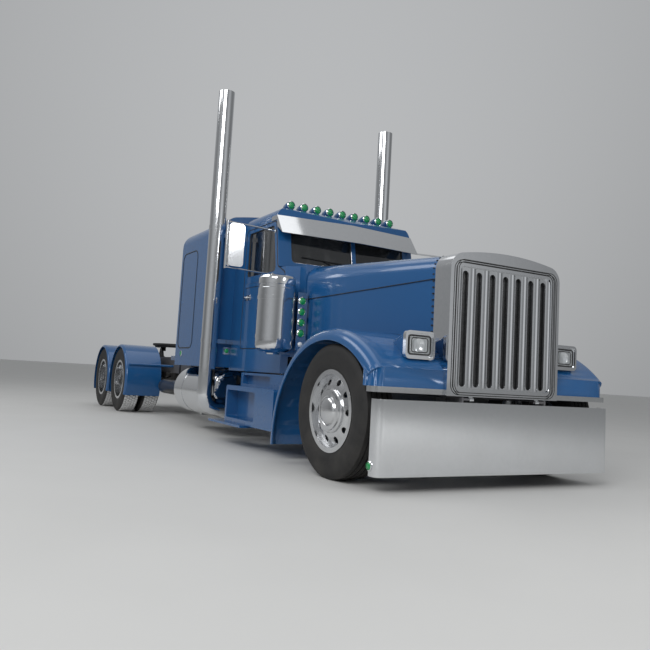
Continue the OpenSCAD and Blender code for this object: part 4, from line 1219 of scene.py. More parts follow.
@dataclass
class Tyres:
    """Tyres with grooves, blocks and sidewall rings, in place of the plain CAD rings."""

    forms: Forms
    repeats: Repeats
    steps: int = 128
    inset: float = 0.002
    # Bead, as a share of the width, its seat on the rim, its depth and its lip
    bead_share: float = 0.40
    seat: float = 0.001
    bead_depth: float = 0.02
    bead_lip: float = 0.009
    # Side wall, with its bulge as shares of the width and its raised rings
    wall_steps: int = 6
    foot_bulge: float = 0.075
    crown_bulge: float = 0.1
    raised: float = 0.0018
    raised_steps: tuple[int, ...] = (2, 3, 8)
    # Grooves and ribs of the front tyres
    groove: float = 0.013
    ribs: int = 5
    rib_gap: float = 0.011
    rib_slope: float = 0.0015
    rib_rise: float = 0.0015
    # Blocks of the rear tyres, as shares of their pitch and of the tread
    shoulder: float = 0.004
    tread_share: float = 0.8
    block_count: int = 64
    block_shares: tuple[float, float] = (0.72, 0.17)
    block_rows: tuple[float, ...] = (-0.40, -0.20, 0.0, 0.20, 0.40)
    block_sink: float = 0.003
    block_foot: float = 0.004
    # Sizes that come from the frame
    width: float = field(init=False)
    radius: float = field(init=False)
    flange: float = field(init=False)

    def __post_init__(self) -> None:
        """Take the sizes of tyre and rim from the frame."""
        low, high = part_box("tyre_front_left")
        self.width = high.y - low.y
        self.radius = (high.z - low.z) / 2
        rim_low, rim_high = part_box("rim_front_left")
        self.flange = (rim_high.z - rim_low.z) / 2

    def build(self) -> None:
        """Make all ten tyres."""
        for side, _ in SIDES:
            self._tyre("tyre_front_" + side, "wheel_front_" + side, False)
            for axle in ("rear1", "rear2"):
                self._tyre(f"tyres_{axle}_{side}", f"wheel_{axle}_{side}", True)

    def _profile(self, lugs: bool) -> list[tuple[float, float]]:
        """Outline of a tyre.

        Args:
            lugs: whether the crown is left low for blocks; else it is ribbed.

        Returns:
            Closed outline as radius and offset from the middle plane.
        """
        bead = self.bead_share * self.width
        foot = self.flange + self.seat
        crown = self.radius - self.inset
        wall = [(foot - self.bead_depth, bead), (foot, bead), (foot, bead + self.bead_lip)]
        for k in range(2 * self.wall_steps + 1):
            t = k / self.wall_steps - 1
            radius = foot + (crown - foot) * (t + 1) / 2
            bulge = self.width * (self.foot_bulge * t**2 if t < 0 else self.crown_bulge * t**4)
            raised = self.raised if k in self.raised_steps else 0.0
            wall.append((radius, self.width / 2 - bulge - self.inset + raised))
        edge = wall[-1][1]
        if lugs:
            low = crown - self.groove
            tread = [(low, edge - self.shoulder), (low, self.shoulder - edge)]
        else:
            tread = self._ribs(crown + self.rib_rise, edge)
        return wall + tread + [(r, -y) for r, y in reversed(wall)]

    def _ribs(self, top: float, edge: float) -> list[tuple[float, float]]:
        """Outline of a ribbed tread.

        Args:
            top: radius of the ribs.
            edge: half width of the tread.

        Returns:
            Points of the grooves between the ribs, from one shoulder to the other.
        """
        pitch = (2 * edge + self.rib_gap) / self.ribs
        low = top - self.groove
        points = []
        for k in range(1, self.ribs):
            near = edge - k * pitch + self.rib_gap
            far = near - self.rib_gap
            points += [(top, near), (low, near - self.rib_slope), (low, far + self.rib_slope), (top, far)]
        return points

    def _tyre(self, node: str, body: str, twin: bool) -> None:
        """Make the tyre or twin tyres of one wheel.

        Args:
            node: CAD node that they stand for.
            body: body that they turn with.
            twin: whether the wheel has two tyres.
        """
        low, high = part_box(node)
        half = self.width / 2
        centres = [low.y + half, high.y - half] if twin else [(low.y + high.y) / 2]
        axle = ((low.x + high.x) / 2, (low.z + high.z) / 2)
        outline = self._profile(twin)
        for index, y in enumerate(centres):
            place = (axle[0], y, axle[1])
            ring = self.forms.revolve(f"{node}_ring{index}", outline, place, self.steps, "tyre_rubber")
            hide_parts(node)
            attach(ring, body)
            if twin:
                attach(self._blocks(f"{node}_tread{index}", axle, y), body)

    def _blocks(self, name: str, axle: tuple[float, float], y: float) -> bpy.types.Object:
        """Staggered rows of tread blocks round one tyre.

        Args:
            name: name of the piece.
            axle: X and Z of the axle.
            y: middle plane of the tyre.

        Returns:
            The joined rows.
        """
        step = math.tau / self.block_count
        tread = self.width * self.tread_share
        reach = self.radius - self.groove / 2 - self.block_sink
        length, width = self.block_shares
        size = (step * self.radius * length, tread * width, self.groove + self.block_foot)
        rows = []
        for row, share in enumerate(self.block_rows):
            start = step * (row % 2) / 2
            turns = [start + k * step for k in range(self.block_count)]
            points = [
                (axle[0] + reach * math.sin(turn), y + share * tread, axle[1] + reach * math.cos(turn))
                for turn in turns
            ]
            rows.append(self.repeats.blocks(f"{name}_{row}", points, size, start, step, "tyre_rubber"))
        return join(name, rows)


def join(name: str, pieces: list[bpy.types.Object]) -> bpy.types.Object:
    """Join pieces of one finish.

    Args:
        name: name of the result.
        pieces: mesh objects, which are removed.

    Returns:
        The joined piece.
    """
    mesh = bmesh.new()
    slot = pieces[0]["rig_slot"]
    material = pieces[0].data.materials[0]
    for piece in pieces:
        mesh.from_mesh(piece.data)
        bpy.data.objects.remove(piece)
    data = bpy.data.meshes.new(name)
    mesh.to_mesh(data)
    mesh.free()
    data.materials.append(material)
    made = bpy.data.objects.new(name, data)
    bpy.context.scene.collection.objects.link(made)
    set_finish(made, slot)
    return made


@dataclass
class WheelTrim:
    """Hub covers of the front wheels and lug nuts of the twin wheels."""

    forms: Forms
    repeats: Repeats
    nuts: int = 10
    circle: float = 0.1429
    nut_radius: float = 0.016
    nut_height: float = 0.022
    nut_sides: int = 6
    # Direction from the axle that misses the hand holes, in degrees
    clear_turn: float = 18.0
    # Hub cover
    cover: float = 0.176
    cover_rise: float = 0.030
    cover_steps: int = 64
    cover_eye: float = 0.004
    shoulder: float = 0.002
    dome: float = 0.112
    dome_rise: float = 0.036
    dome_steps: int = 8
    tip_gap: float = 0.004

    def build(self) -> None:
        """Trim all six wheels."""
        for side, sign in SIDES:
            self._cover(side, sign)
            for axle in ("rear1", "rear2"):
                self._nuts(f"rims_{axle}_{side}", f"wheel_{axle}_{side}", sign)

    def _face(self, node: str, sign: float) -> tuple[Vec3, float]:
        """Find a wheel's middle and the face of its disc.

        Args:
            node: CAD node of the rim.
            sign: 1 on the left, -1 on the right.

        Returns:
            The middle of the wheel and the Y of the face.
        """
        low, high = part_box(node)
        x, y, z = (low + high) / 2
        turn = math.radians(self.clear_turn)
        start = (x + self.circle * math.cos(turn), sign * FAR, z + self.circle * math.sin(turn))
        return (x, y, z), skin_at(node, start, (0.0, -sign, 0.0)).y

    def _cover(self, side: str, sign: float) -> None:
        """Put a stepped bright cover with a dome over a front hub.

        Args:
            side: left or right.
            sign: 1 on the left, -1 on the right.
        """
        node = f"rim_front_{side}"
        (x, _, z), face = self._face(node, sign)
        low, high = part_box(node)
        tip = (high.y if sign > 0 else -low.y) - sign * face
        lip, rise, dome = self.cover, self.cover_rise, self.dome
        foot = rise + self.shoulder
        height = max(tip + self.tip_gap, rise + self.dome_rise) - rise
        outline = [
            (lip, 0.0),
            (lip, 0.012),
            (lip - 0.006, 0.017),
            (lip - 0.020, 0.019),
            (lip - 0.024, rise),
            (dome + 0.010, foot),
            (dome + 0.004, rise - 0.003),
            (dome, foot),
        ]
        for k in range(1, self.dome_steps):
            angle = math.pi / 2 * k / self.dome_steps
            outline.append((dome * math.cos(angle), foot + height * math.sin(angle)))
        outline += [(self.cover_eye, foot + height), (self.cover_eye, 0.0)]
        profile = [(radius, sign * offset) for radius, offset in outline]
        name = f"hub_cover_{side}"
        made = self.forms.revolve(name, profile, (x, face, z), self.cover_steps, "polished_wheel")
        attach(made, f"wheel_front_{side}")

    def _nuts(self, node: str, body: str, sign: float) -> None:
        """Put one circle of nuts on a wheel.

        Args:
            node: CAD node of the rim.
            body: body that the nuts turn with.
            sign: 1 on the left, -1 on the right.
        """
        (x, _, z), face = self._face(node, sign)
        y = face + sign * self.nut_height / 2
        turns = [math.tau * (k + 0.5) / self.nuts for k in range(self.nuts)]
        points = [(x + self.circle * math.cos(t), y, z + self.circle * math.sin(t)) for t in turns]
        height = sign * self.nut_height
        made = self.repeats.studs(
            node + "_nuts", points, Axis.Y, self.nut_radius, height, self.nut_sides, "chrome"
        )
        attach(made, body)


def rounded_square(centre: Vec3, half: tuple[float, float], corner: float, axis: Axis) -> list[Vec3]:
    """Points round a square with round corners.

    Args:
        centre: middle of the square.
        half: half sizes, across and up.
        corner: corner radius.
        axis: X or Y, the way that the square faces.

    Returns:
        A closed chain of points.
    """
    points = []
    for k in range(SQUARE_POINTS):
        angle = math.tau * (k + 0.5) / SQUARE_POINTS
        across = math.copysign(half[0] - corner, math.cos(angle)) + corner * math.cos(angle)
        up = math.copysign(half[1] - corner, math.sin(angle)) + corner * math.sin(angle)
        offset = (0.0, across, up) if axis is Axis.X else (across, 0.0, up)
        points.append(tuple(c + o for c, o in zip(centre, offset)))
    return points


@dataclass
class NoseTrim:
    """Grille screen, rivets, hood crease lines and headlamp insides, with painted shade in the grille slots,
    along the hood creases and in the headlamp recesses.
    """

    forms: Forms
    repeats: Repeats
    # How far lines and seams are sunk into the faces that they mark
    sink: float = 0.001
    screen_gap: float = 0.012
    screen_thick: float = 0.004
    screen_margin: float = 0.01
    screen_edge: float = 0.001
    # Dark lines round the grille, by their distance from its bars
    line: float = 0.003
    line_corner: float = 0.05
    line_grow: tuple[float, ...] = (0.010, 0.028)
    rivet: float = 0.011
    rivet_height: float = 0.006
    rivet_sides: int = 12
    rivet_pitch: float = 0.052
    rivet_back: float = 0.022
    # Where the hood's ledge lies: its lowest and highest Z and its least distance from the middle
    ledge_band: tuple[float, float] = (1.56, 1.66)
    ledge_out: float = 0.3
    # Radius of the dark tube along each ledge, which paints the crease's shade, and its drop below the ledge
    seam: float = 0.0035
    crease_shade_drop: float = 0.008
    # Reflector, as shares of the lens's half size with offsets
    bowl_shares: tuple[tuple[float, float], ...] = (
        (0.5, 0.001),
        (0.66, 0.006),
        (0.70, 0.010),
        (0.64, 0.007),
    )
    bowl_eye: float = 0.004
    bowl_wall: float = 0.0015
    bowl_seat: float = 0.002
    bowl_steps: int = 40
    # Dark square rings of a headlamp that paint the shade of its recessed steps, as shares of the lens with
    # their thickness
    lamp_shade_rings: tuple[tuple[float, float], ...] = ((0.95, 0.007), (0.72, 0.004))
    lamp_corner: float = 0.28

    def build(self) -> None:
        """Make the nose details."""
        self._shade_screen()
        self._rivets()
        self._hood_crease_shade()
        self._headlamps()

    def _shade_screen(self) -> None:
        """Put a dark punched screen behind the grille bars, as painted shade in their slots, and dark lines
        round them.
        """
        low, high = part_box("grille_bars")
        behind = low.x - self.screen_gap
        margin = self.screen_margin
        # A dark sheet behind the bars paints the shade in the grille's slots
        screen = self.forms.box(
            "grille_screen",
            (behind - self.screen_thick, low.y + margin, low.z + margin),
            (behind, high.y - margin, high.z - margin),
            self.screen_edge,
            "grille_screen",
        )
        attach(screen, "hood_body")
        centre = (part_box("grille_shell")[1].x - self.sink, 0.0, (low.z + high.z) / 2)
        for ring, grow in enumerate(self.line_grow):
            half = ((high.y - low.y) / 2 + grow, (high.z - low.z) / 2 + grow)
            path = rounded_square(centre, half, self.line_corner + grow, Axis.X)
            line = self.forms.tube(f"grille_line_{ring}", path, self.line, "seal_rubber", closed=True)
            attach(line, "hood_body")

    def _rivets(self) -> None:
        """Put a row of dark rivets along the hood's front edge."""
        loops = face_loops("hood", (1.0, 0.0, 0.0))
        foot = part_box("hood")[0].z
        outline = max(loops, key=lambda chain: max(p.z for p in chain) - min(p.z for p in chain))
        outer = [p for p in outline if p.z > foot]
        back = Vector((self.rivet_back, 0.0, 0.0))
        points = []
        for a, b in zip(outer, outer[1:] + outer[:1]):
            count = max(1, round((b - a).length / self.rivet_pitch))
            points += [tuple(a.lerp(b, (k + 0.5) / count) - back) for k in range(count)]
        rivets = self.repeats.studs(
            "hood_rivets", points, Axis.Z, self.rivet, self.rivet_height, self.rivet_sides, "black_paint"
        )
        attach(rivets, "hood_body")

    def _hood_crease_shade(self) -> None:
        """Lay a thin dark tube along the ledge of each hood side, as painted shade in the crease."""
        lowest, highest = self.ledge_band
        for side, sign in SIDES:
            ledge: dict[float, Vector] = {}
            for vert in frame["nodes"]["hood"].data.vertices:
                x, out = round(vert.co.x, 3), sign * vert.co.y
                if not lowest < vert.co.z < highest or out < self.ledge_out:
                    continue
                if x not in ledge or out > sign * ledge[x].y:
                    ledge[x] = vert.co
            sunk = Vector((0.0, sign * self.sink, self.crease_shade_drop))
            path = [tuple(ledge[x] - sunk) for x in sorted(ledge)]
            # A dark tube as painted shade along the crease
            seam = self.forms.tube(f"hood_seam_{side}", path, self.seam, "seal_rubber")
            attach(seam, "hood_body")

    def _headlamps(self) -> None:
        """Put a reflector in each headlamp and dark square rings that paint the shade of its recessed steps.
        """
        for side, (low, high) in enumerate(node_islands("headlamp_lenses")):
            centre = (low + high) / 2
            half = ((high.y - low.y) / 2, (high.z - low.z) / 2)
            radius = min(half)
            bowl = [(radius * share, offset) for share, offset in self.bowl_shares]
            bowl = [(self.bowl_eye, 0.0), *bowl, (self.bowl_eye, self.bowl_wall)]
            seat = (low.x + self.bowl_seat, centre.y, centre.z)
            name = f"headlamp_bowl_{side}"
            pieces = [self.forms.revolve(name, bowl, seat, self.bowl_steps, "chrome", Axis.X)]
            front = (high.x - self.sink, centre.y, centre.z)
            # Dark rings as painted shade in the lamp's recesses
            for ring, (share, thick) in enumerate(self.lamp_shade_rings):
                ring_half = (half[0] * share, half[1] * share)
                path = rounded_square(front, ring_half, radius * self.lamp_corner, Axis.X)
                name = f"headlamp_ring_{side}_{ring}"
                pieces.append(self.forms.tube(name, path, thick, "black_paint", closed=True))
            for piece in pieces:
                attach(piece, "hood_body")


@dataclass
class Trim:
    """Seals, dark tubes of painted shade in the door gaps and panel grooves, handles, mirror glass, lamp
    rings, tank caps, wipers and tread plates.
    """

    forms: Forms
    repeats: Repeats
    # Seals and the door's dark tube: tube radius, and how far each lies off or in the face under it
    screen_facing: Vec3 = (0.95, 0.0, 0.2)
    seal: float = 0.009
    seal_lift: float = 0.002
    bead: float = 0.004
    bead_lift: float = 0.011
    # The door's dark tube paints the shade of the gap round the door
    door_gap_shade: float = 0.0045
    door_seal_sink: float = 0.001
    # Sleeper side panel: middle as X from the sleeper's rear and Z, half sizes, corner, and the dark tube
    # that paints the shade in its groove
    panel_middle: tuple[float, float] = (0.375, 1.730)
    panel_half: tuple[float, float] = (0.296, 0.656)
    panel_corner: float = 0.106
    panel_groove_shade: float = 0.008
    panel_sink: float = 0.002
    # Door handle: distance from the door's rear edge, height, plate and grip
    handle_in: float = 0.13
    handle_z: float = 1.66
    handle_half: tuple[float, float] = (0.085, 0.03)
    handle_thick: float = 0.004
    handle_edge: float = 0.0015
    grip: float = 0.009
    grip_out: float = 0.032
    grip_foot: float = 0.07
    grip_straight: float = 0.06
    # Mirror glass: distance in from the mirror's outer edge, half sizes and place in the head
    mirror_in: float = 0.116
    mirror_half: tuple[float, float] = (0.066, 0.205)
    mirror_proud: float = 0.0015
    mirror_sunk: float = 0.002
    mirror_edge: float = 0.0012
    # Marker lamps: share of the width that a whole round lamp is tall, and the lamps at the cab's foot
    round_share: float = 0.95
    foot_lamp_z: float = 1.04
    foot_lamp_band: float = 0.03
    plate_margin: float = 0.014
    plate_half: float = 0.004
    plate_edge: float = 0.0015
    ring_gap: float = 0.001
    ring_wide: float = 0.008
    ring_low: float = 0.004
    ring_high: float = 0.009
    ring_steps: int = 32
    # Lamp at the foot of a lamp strip: a point ahead of the truck in line with it
    strip_ahead: Vec3 = (20.0, 0.838, 1.11)
    strip_lamp: float = 0.024
    strip_lamp_height: float = 0.014
    # Filler caps: tank axis, turn from the top in degrees, distance from the axis and from the front
    tank_z: float = 0.52
    tank_half: float = 0.314
    cap_turn: float = 38.0
    cap_reach: float = 0.310
    cap_back: float = 0.30
    cap: float = 0.055
    cap_height: float = 0.030
    round_sides: int = 24
    # Wipers: Y and height of the blade's points, and the arm's foot from the blade's middle
    wiper_points: tuple[tuple[float, float], ...] = ((0.12, 0.045), (0.36, 0.060), (0.62, 0.075))
    wiper_lift: float = 0.008
    blade: float = 0.007
    arm: float = 0.006
    arm_lift: float = 0.012
    arm_foot: tuple[float, float] = (0.03, 0.16)
    arm_drop: float = 0.02
    # Deck lozenges
    lozenge_pitch: float = 0.05
    lozenge_sink: float = 0.0005

    def build(self) -> None:
        """Make the trim of cab, doors and tanks."""
        self._seals_and_door_shade()
        self._panel_groove_shade()
        self._handles()
        self._mirrors()
        self._lamp_rings()
        self._strip_lamps()
        self._tank_caps()
        self._wipers()
        self._plates()

    def _seals_and_door_shade(self) -> None:
        """Put rubber round the windscreen panes and the door glass, and a dark tube round each door that
        paints the shade of its gap.
        """
        for index, chain in enumerate(face_loops("windscreen", self.screen_facing)):
            for name, lift, radius, slot in (
                ("seal", self.seal_lift, self.seal, "seal_rubber"),
                ("bead", self.bead_lift, self.bead, "chrome"),
            ):
                path = [tuple(p + Vector((lift, 0.0, 0.0))) for p in chain]
                made = self.forms.tube(f"screen_{name}_{index}", path, radius, slot, closed=True)
                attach(made, "chassis")
        for side, sign in SIDES:
            body, facing = f"door_{side}_body", (0.0, sign, 0.0)
            for index, chain in enumerate(face_loops("door_glass_" + side, facing)):
                path = [tuple(p) for p in chain]
                name = f"window_seal_{side}_{index}"
                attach(self.forms.tube(name, path, self.seal, "seal_rubber", closed=True), body)
            # A dark tube round the door's outline paints the shade of the gap round the door
            loops = face_loops("door_" + side, facing)
            outline = max(loops, key=lambda chain: max(p.x for p in chain) - min(p.x for p in chain))
            sunk = Vector((0.0, sign * self.door_seal_sink, 0.0))
            path = [tuple(p - sunk) for p in outline]
            seal = self.forms.tube(f"door_seal_{side}", path, self.door_gap_shade, "seal_rubber", closed=True)
            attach(seal, body)

    def _panel_groove_shade(self) -> None:
        """Put a dark tube in the groove of each sleeper side panel, as painted shade in the groove."""
        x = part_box("sleeper")[0].x + self.panel_middle[0]
        z = self.panel_middle[1]
        for side, sign in SIDES:
            skin = skin_at("sleeper", (x, sign * FAR, z), (0.0, -sign, 0.0))
            place = (x, skin.y - sign * self.panel_sink, z)
            # A dark tube in the groove as painted shade
            path = rounded_square(place, self.panel_half, self.panel_corner, Axis.Y)
            seal = self.forms.tube(f"panel_seal_{side}", path, self.panel_groove_shade, "seal_rubber", closed=True)
            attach(seal, "chassis")

    def _handles(self) -> None:
        """Put a plate and a grip on each door."""
        across, up = self.handle_half
        foot, straight = self.grip_foot, self.grip_straight
        for side, sign in SIDES:
            x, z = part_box("door_" + side)[0].x + self.handle_in, self.handle_z
            skin = skin_at("door_" + side, (x, sign * FAR, z), (0.0, -sign, 0.0)).y
            near, far = sorted((skin, skin + sign * self.handle_thick))
            plate = self.forms.box(
                f"handle_plate_{side}",
                (x - across, near, z - up),
                (x + across, far, z + up),
                self.handle_edge,
                "chrome",
            )
            out = skin + sign * self.grip_out
            path = [(x - foot, skin, z), (x - straight, out, z), (x + straight, out, z), (x + foot, skin, z)]
            grip = self.forms.tube(f"handle_grip_{side}", path, self.grip, "chrome")
            for piece in (plate, grip):
                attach(piece, f"door_{side}_body")

    def _mirrors(self) -> None:
        """Put the glass on the rear face of each mirror head."""
        across, up = self.mirror_half
        for side, sign in SIDES:
            low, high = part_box("mirror_" + side)
            y = sign * (max(abs(low.y), abs(high.y)) - self.mirror_in)
            z = (low.z + high.z) / 2
            x = skin_at("mirror_" + side, (low.x - 1.0, y, z), (1.0, 0.0, 0.0)).x
            glass = self.forms.box(
                f"mirror_glass_{side}",
                (x - self.mirror_proud, y - across, z - up),
                (x + self.mirror_sunk, y + across, z + up),
                self.mirror_edge,
                "mirror_glass",
            )
            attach(glass, f"door_{side}_body")

    def _lamp_rings(self) -> None:
        """Put a bright ring, or a square plate at the cab's foot, round each marker lamp."""
        for index, (low, high) in enumerate(node_islands("marker_lamps")):
            size = high - low
            axis = Axis.X if size.x < size.y else Axis.Y
            if size.z < self.round_share * max(size):
                continue
            height = (low.z + high.z) / 2
            if axis is Axis.X and abs(height - self.foot_lamp_z) < self.foot_lamp_band:
                made = self._lamp_plate(index, low, high)
            else:
                made = self._lamp_ring(index, low, high, axis)
            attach(made, "chassis")

    def _lamp_plate(self, index: int, low: Vector, high: Vector) -> bpy.types.Object:
        """Square plate round a lamp that faces forward.

        Args:
            index: number of the lamp.
            low: lowest corner of the lamp.
            high: highest corner of the lamp.

        Returns:
            The plate.
        """
        _, y, z = (low + high) / 2
        reach = max(high - low) / 2 + self.plate_margin
        return self.forms.box(
            f"lamp_plate_{index}",
            (low.x - self.plate_half, y - reach, z - reach),
            (low.x + self.plate_half, y + reach, z + reach),
            self.plate_edge,
            "chrome",
        )

    def _lamp_ring(self, index: int, low: Vector, high: Vector, axis: Axis) -> bpy.types.Object:
        """Bright ring round a lamp.

        Args:
            index: number of the lamp.
            low: lowest corner of the lamp.
            high: highest corner of the lamp.
            axis: X for a lamp that faces forward, Y for one that faces out to its side.

        Returns:
            The ring.
        """
        x, y, z = (low + high) / 2
        radius = max(high - low) / 2
        inner, outer = radius + self.ring_gap, radius + self.ring_wide
        out = 1.0 if axis is Axis.X or y > 0 else -1.0
        profile = [(inner, 0.0), (outer, 0.0), (outer, out * self.ring_low), (inner, out * self.ring_high)]
        place = (low.x, y, z) if axis is Axis.X else (x, low.y if y > 0 else high.y, z)
        return self.forms.revolve(f"lamp_ring_{index}", profile, place, self.ring_steps, "chrome", axis)

    def _strip_lamps(self) -> None:
        """Put a white lamp at the foot of each lamp strip beside the cab."""
        x, y, z = self.strip_ahead
        for side, sign in SIDES:
            skin = skin_at("air_cleaners", (x, sign * y, z), (-1.0, 0.0, 0.0))
            if skin is None:
                LOG.warning("no strip foot on the %s", side)
                continue
            name, points, height = f"strip_lamp_{side}", [tuple(skin)], self.strip_lamp_height
            lamp = self.repeats.studs(
                name, points, Axis.X, self.strip_lamp, height, self.round_sides, "white_lens"
            )
            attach(lamp, "chassis")

    def _tank_caps(self) -> None:
        """Put a filler cap on the shoulder of each fuel tank."""
        turn = math.radians(self.cap_turn)
        out, up = self.cap_reach * math.sin(turn), self.cap_reach * math.cos(turn)
        for index, (low, high) in enumerate(node_islands("fuel_tanks")):
            sign = 1.0 if low.y + high.y > 0 else -1.0
            axis_y = sign * (max(abs(low.y), abs(high.y)) - self.tank_half)
            place = (high.x - self.cap_back, axis_y + sign * out, self.tank_z + up)
            cap = self.repeats.studs(
                f"tank_cap_{index}", [place], Axis.Z, self.cap, self.cap_height, self.round_sides, "chrome"
            )
            there = Matrix.Translation(place)
            cap.data.transform(there @ Matrix.Rotation(-sign * turn, 4, "X") @ there.inverted())
            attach(cap, "chassis")

    def _wipers(self) -> None:
        """Put parked wipers along the foot of the windscreen."""
        low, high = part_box("windscreen")
        for side, sign in SIDES:
            path = []
            for y, z in self.wiper_points:
                glass = skin_at("windscreen", (high.x + 1.0, sign * y, low.z + z), (-1.0, 0.0, 0.0))
                if glass is not None:
                    path.append(tuple(glass + Vector((self.wiper_lift, 0.0, 0.0))))
            blade = self.forms.tube(f"wiper_blade_{side}", path, self.blade, "seal_rubber")
            x, y, z = path[len(path) // 2]
            foot = (x + self.arm_foot[0], y - sign * self.arm_foot[1], low.z - self.arm_drop)
            reach = [foot, (x + self.arm_lift, y, z)]
            arm = self.forms.tube(f"wiper_arm_{side}", reach, self.arm, "seal_rubber")
            for piece in (arm, blade):
                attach(piece, "chassis")

    def _plates(self) -> None:
        """Put lozenges on the deck plate."""
        low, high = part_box("deck_plate")
        top = (high.x, high.y, high.z - self.lozenge_sink)
        start = (low.x, low.y, high.z)
        deck = self.repeats.diamonds("deck_lozenges", start, top, self.lozenge_pitch, "tread_plate")
        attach(deck, "chassis")


@dataclass(frozen=True)
class Pad:
    """One cushion of a seat, with corners from the seat's place on the ground."""

    name: str
    low: Vec3
    high: Vec3
    puff: float
    leans: bool


@dataclass
class Cabin:
    """Seats, dashboard and steering wheel seen through the glass."""

    PADS: ClassVar[tuple[Pad, ...]] = (
        Pad("base", low=(-0.24, -0.25, 1.255), high=(0.26, 0.25, 1.40), puff=0.02, leans=False),
        Pad("back", low=(-0.345, -0.245, 1.39), high=(-0.225, 0.245, 2.01), puff=0.02, leans=True),
        Pad("head", low=(-0.42, -0.13, 2.005), high=(-0.33, 0.13, 2.16), puff=0.012, leans=True),
    )

    forms: Forms
    dresser: Dresser
    # Solids nearer to the middle than this are not seats
    middle_band: float = 0.2
    seat_back: float = 0.26
    lean: float = -10.0
    post_half: float = 0.12
    post_top: float = 1.26
    post_edge: float = 0.01

    def build(self) -> None:
        """Make the inside of the cab."""
        self.dresser.dress("cab_interior", keep=lambda centre: abs(centre.y) < self.middle_band)
        for low, high in node_islands("cab_interior"):
            y = (low.y + high.y) / 2
            if abs(y) >= self.middle_band:
                self._seat("left" if y > 0 else "right", high.x - self.seat_back, y, low.z)

    def _seat(self, side: str, x: float, y: float, floor: float) -> None:
        """Make one seat.

        Args:
            side: left or right.
            x: X of the seat's place.
            y: Y of the seat's place.
            floor: Z that its post stands on.
        """
        lean = Matrix.Rotation(math.radians(self.lean), 4, "Y")
        pieces = []
        for pad in self.PADS:
            low, high = ((x + corner[0], y + corner[1], corner[2]) for corner in (pad.low, pad.high))
            turn = lean if pad.leans else None
            pieces += self.forms.cushion(f"seat_{pad.name}_{side}", low, high, pad.puff, "leather", turn)
        post = self.post_half
        foot, top = (x - post, y - post, floor), (x + post, y + post, self.post_top)
        pieces.append(self.forms.box(f"seat_post_{side}", foot, top, self.post_edge, "black_paint"))
        for piece in pieces:
            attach(piece, "chassis")


@dataclass(frozen=True)
class SoftBox:
    """A soft light box."""

    name: str
    place: Vec3
    aim: Vec3
    size: tuple[float, float]
    power: float


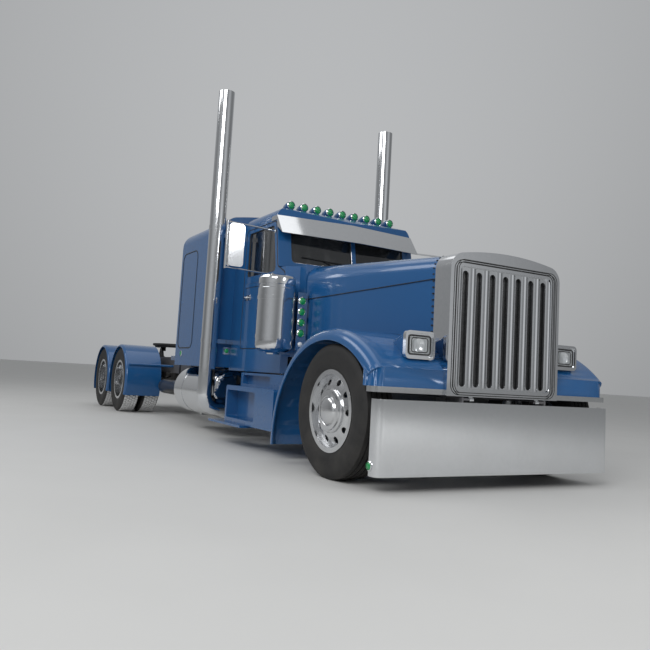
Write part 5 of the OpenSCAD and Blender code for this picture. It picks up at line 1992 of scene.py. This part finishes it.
@dataclass
class Stage:
    """Floor, lights and the camera that the photograph was taken with."""

    BOXES: ClassVar[tuple[SoftBox, ...]] = (
        SoftBox("key", place=(11.0, -9.0, 8.0), aim=(4.0, 0.0, 1.2), size=(7.0, 5.0), power=700.0),
        SoftBox("pool", place=(11.0, 1.5, 4.0), aim=(11.0, 1.5, 0.0), size=(3.0, 2.0), power=120.0),
        SoftBox("top", place=(0.0, 0.0, 11.0), aim=(0.0, 0.0, 0.0), size=(12.0, 5.0), power=150.0),
        SoftBox("side", place=(-2.0, -9.0, 9.5), aim=(0.0, 0.0, 1.2), size=(9.0, 4.0), power=320.0),
    )

    front_axle_x: float
    # Camera, from the middle of the front axle, with its angles in degrees
    eye: Vec3 = (4.799, -4.029, 0.827)
    azimuth: float = 61.95
    elevation: float = 5.34
    roll: float = 3.39
    focal_px: float = 687.0
    principal_px: tuple[float, float] = (306.0, 309.0)
    frame_px: float = 650.0
    sensor: float = 36.0
    clip_end: float = 400.0
    # Surroundings, with panels by their direction in degrees, strength and narrowness
    floor_reach: float = 150.0
    floor_low: Vec3 = (0.60, 0.60, 0.59)
    floor_high: Vec3 = (0.66, 0.66, 0.65)
    horizon: float = 0.08
    zenith: float = 0.42
    sky: Vec3 = (0.96, 0.98, 1.0)
    panels: tuple[Vec3, ...] = (
        (22.0, 0.60, 12.0),
        (152.0, 0.36, 3.0),
        (-60.0, 0.32, 4.0),
        (-143.0, 0.14, 10.0),
    )

    def build(self) -> None:
        """Make the surroundings."""
        self._floor()
        self._world()
        self._lights()
        self._camera()

    def _floor(self) -> None:
        """Lay a plain pale floor."""
        mesh = bpy.data.meshes.new("floor")
        reach = self.floor_reach
        corners = [(-reach, -reach, 0), (reach, -reach, 0), (reach, reach, 0), (-reach, reach, 0)]
        mesh.from_pydata(corners, [], [(0, 1, 2, 3)])
        surface = Surface("floor", {"Specular IOR Level": 0.2})
        patches = surface.noise(0.8, detail=6.0)
        surface.feed("Base Color", surface.mix(patches, self.floor_low, self.floor_high))
        surface.feed("Roughness", surface.noise(2.0).between(0.6, 0.7))
        mesh.materials.append(surface.material)
        floor = bpy.data.objects.new("floor", mesh)
        bpy.context.scene.collection.objects.link(floor)

    def _world(self) -> None:
        """Grey surroundings, paler overhead, with broad soft panels round the truck."""
        world = bpy.data.worlds.new("studio")
        world.use_nodes = True
        tree = ShaderTree(world.node_tree)
        way = tree.out(tree.node("ShaderNodeTexCoord"), "Generated")
        parts = tree.node("ShaderNodeSeparateXYZ", None, {0: way})
        along, across, up = (tree.out(parts, i) for i in range(3))
        level = up.held().between(self.horizon, self.zenith)
        for degrees, strength, narrow in self.panels:
            turn = math.radians(degrees)
            facing = (along * math.cos(turn) + across * math.sin(turn)).held() ** narrow
            level = level + facing * strength
        background = world.node_tree.nodes["Background"]
        background.inputs["Color"].default_value = (*self.sky, 1.0)
        world.node_tree.links.new(level.socket, background.inputs["Strength"])
        bpy.context.scene.world = world

    def _lights(self) -> None:
        """Hang the soft boxes."""
        for box in self.BOXES:
            lamp = bpy.data.lights.new(box.name, "AREA")
            lamp.shape = "RECTANGLE"
            lamp.size, lamp.size_y = box.size
            lamp.energy = box.power
            made = bpy.data.objects.new(box.name, lamp)
            made.location = box.place
            made.rotation_euler = (Vector(box.aim) - Vector(box.place)).to_track_quat("-Z", "Y").to_euler()
            bpy.context.scene.collection.objects.link(made)

    def _camera(self) -> None:
        """Stand the camera where the photograph was taken."""
        azimuth, elevation, roll = (math.radians(a) for a in (self.azimuth, self.elevation, self.roll))
        level = math.cos(elevation)
        look = Vector((-math.sin(azimuth) * level, math.cos(azimuth) * level, math.sin(elevation)))
        right = look.cross(Vector((0, 0, 1))).normalized()
        up = right.cross(look)
        turned_right = right * math.cos(roll) + up * math.sin(roll)
        turned_up = up * math.cos(roll) - right * math.sin(roll)
        lens = bpy.data.cameras.new("camera")
        lens.sensor_width = self.sensor
        lens.lens = self.sensor * self.focal_px / self.frame_px
        lens.shift_x = (self.frame_px / 2 - self.principal_px[0]) / self.frame_px
        lens.shift_y = (self.principal_px[1] - self.frame_px / 2) / self.frame_px
        lens.clip_end = self.clip_end
        camera = bpy.data.objects.new("camera", lens)
        turn = Matrix((turned_right, turned_up, -look)).transposed().to_4x4()
        place = Vector(self.eye) + Vector((self.front_axle_x, 0, 0))
        camera.matrix_world = Matrix.Translation(place) @ turn
        bpy.context.scene.collection.objects.link(camera)
        bpy.context.scene.camera = camera
        bpy.context.scene.view_settings.view_transform = "Standard"


@dataclass
class Tractor:
    """The whole truck."""

    finishes: Finishes = field(default_factory=Finishes)

    def build(self) -> None:
        """Dress every CAD node and add the details."""
        forms = Forms(self.finishes)
        repeats = Repeats(self.finishes)
        dresser = Dresser(self.finishes)
        special = ("tyre_", "tyres_", "cab_interior")
        for node in frame["nodes"]:
            if not node.startswith(special):
                dresser.dress(node)
        Tyres(forms, repeats).build()
        WheelTrim(forms, repeats).build()
        NoseTrim(forms, repeats).build()
        Trim(forms, repeats).build()
        Cabin(forms, dresser).build()


def main() -> None:
    """Build the truck and its surroundings."""
    logging.basicConfig(level=logging.INFO)
    Tractor().build()
    rim_low, rim_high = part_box("rim_front_left")
    Stage(front_axle_x=(rim_low.x + rim_high.x) / 2).build()


if __name__ == "__main__":
    main()
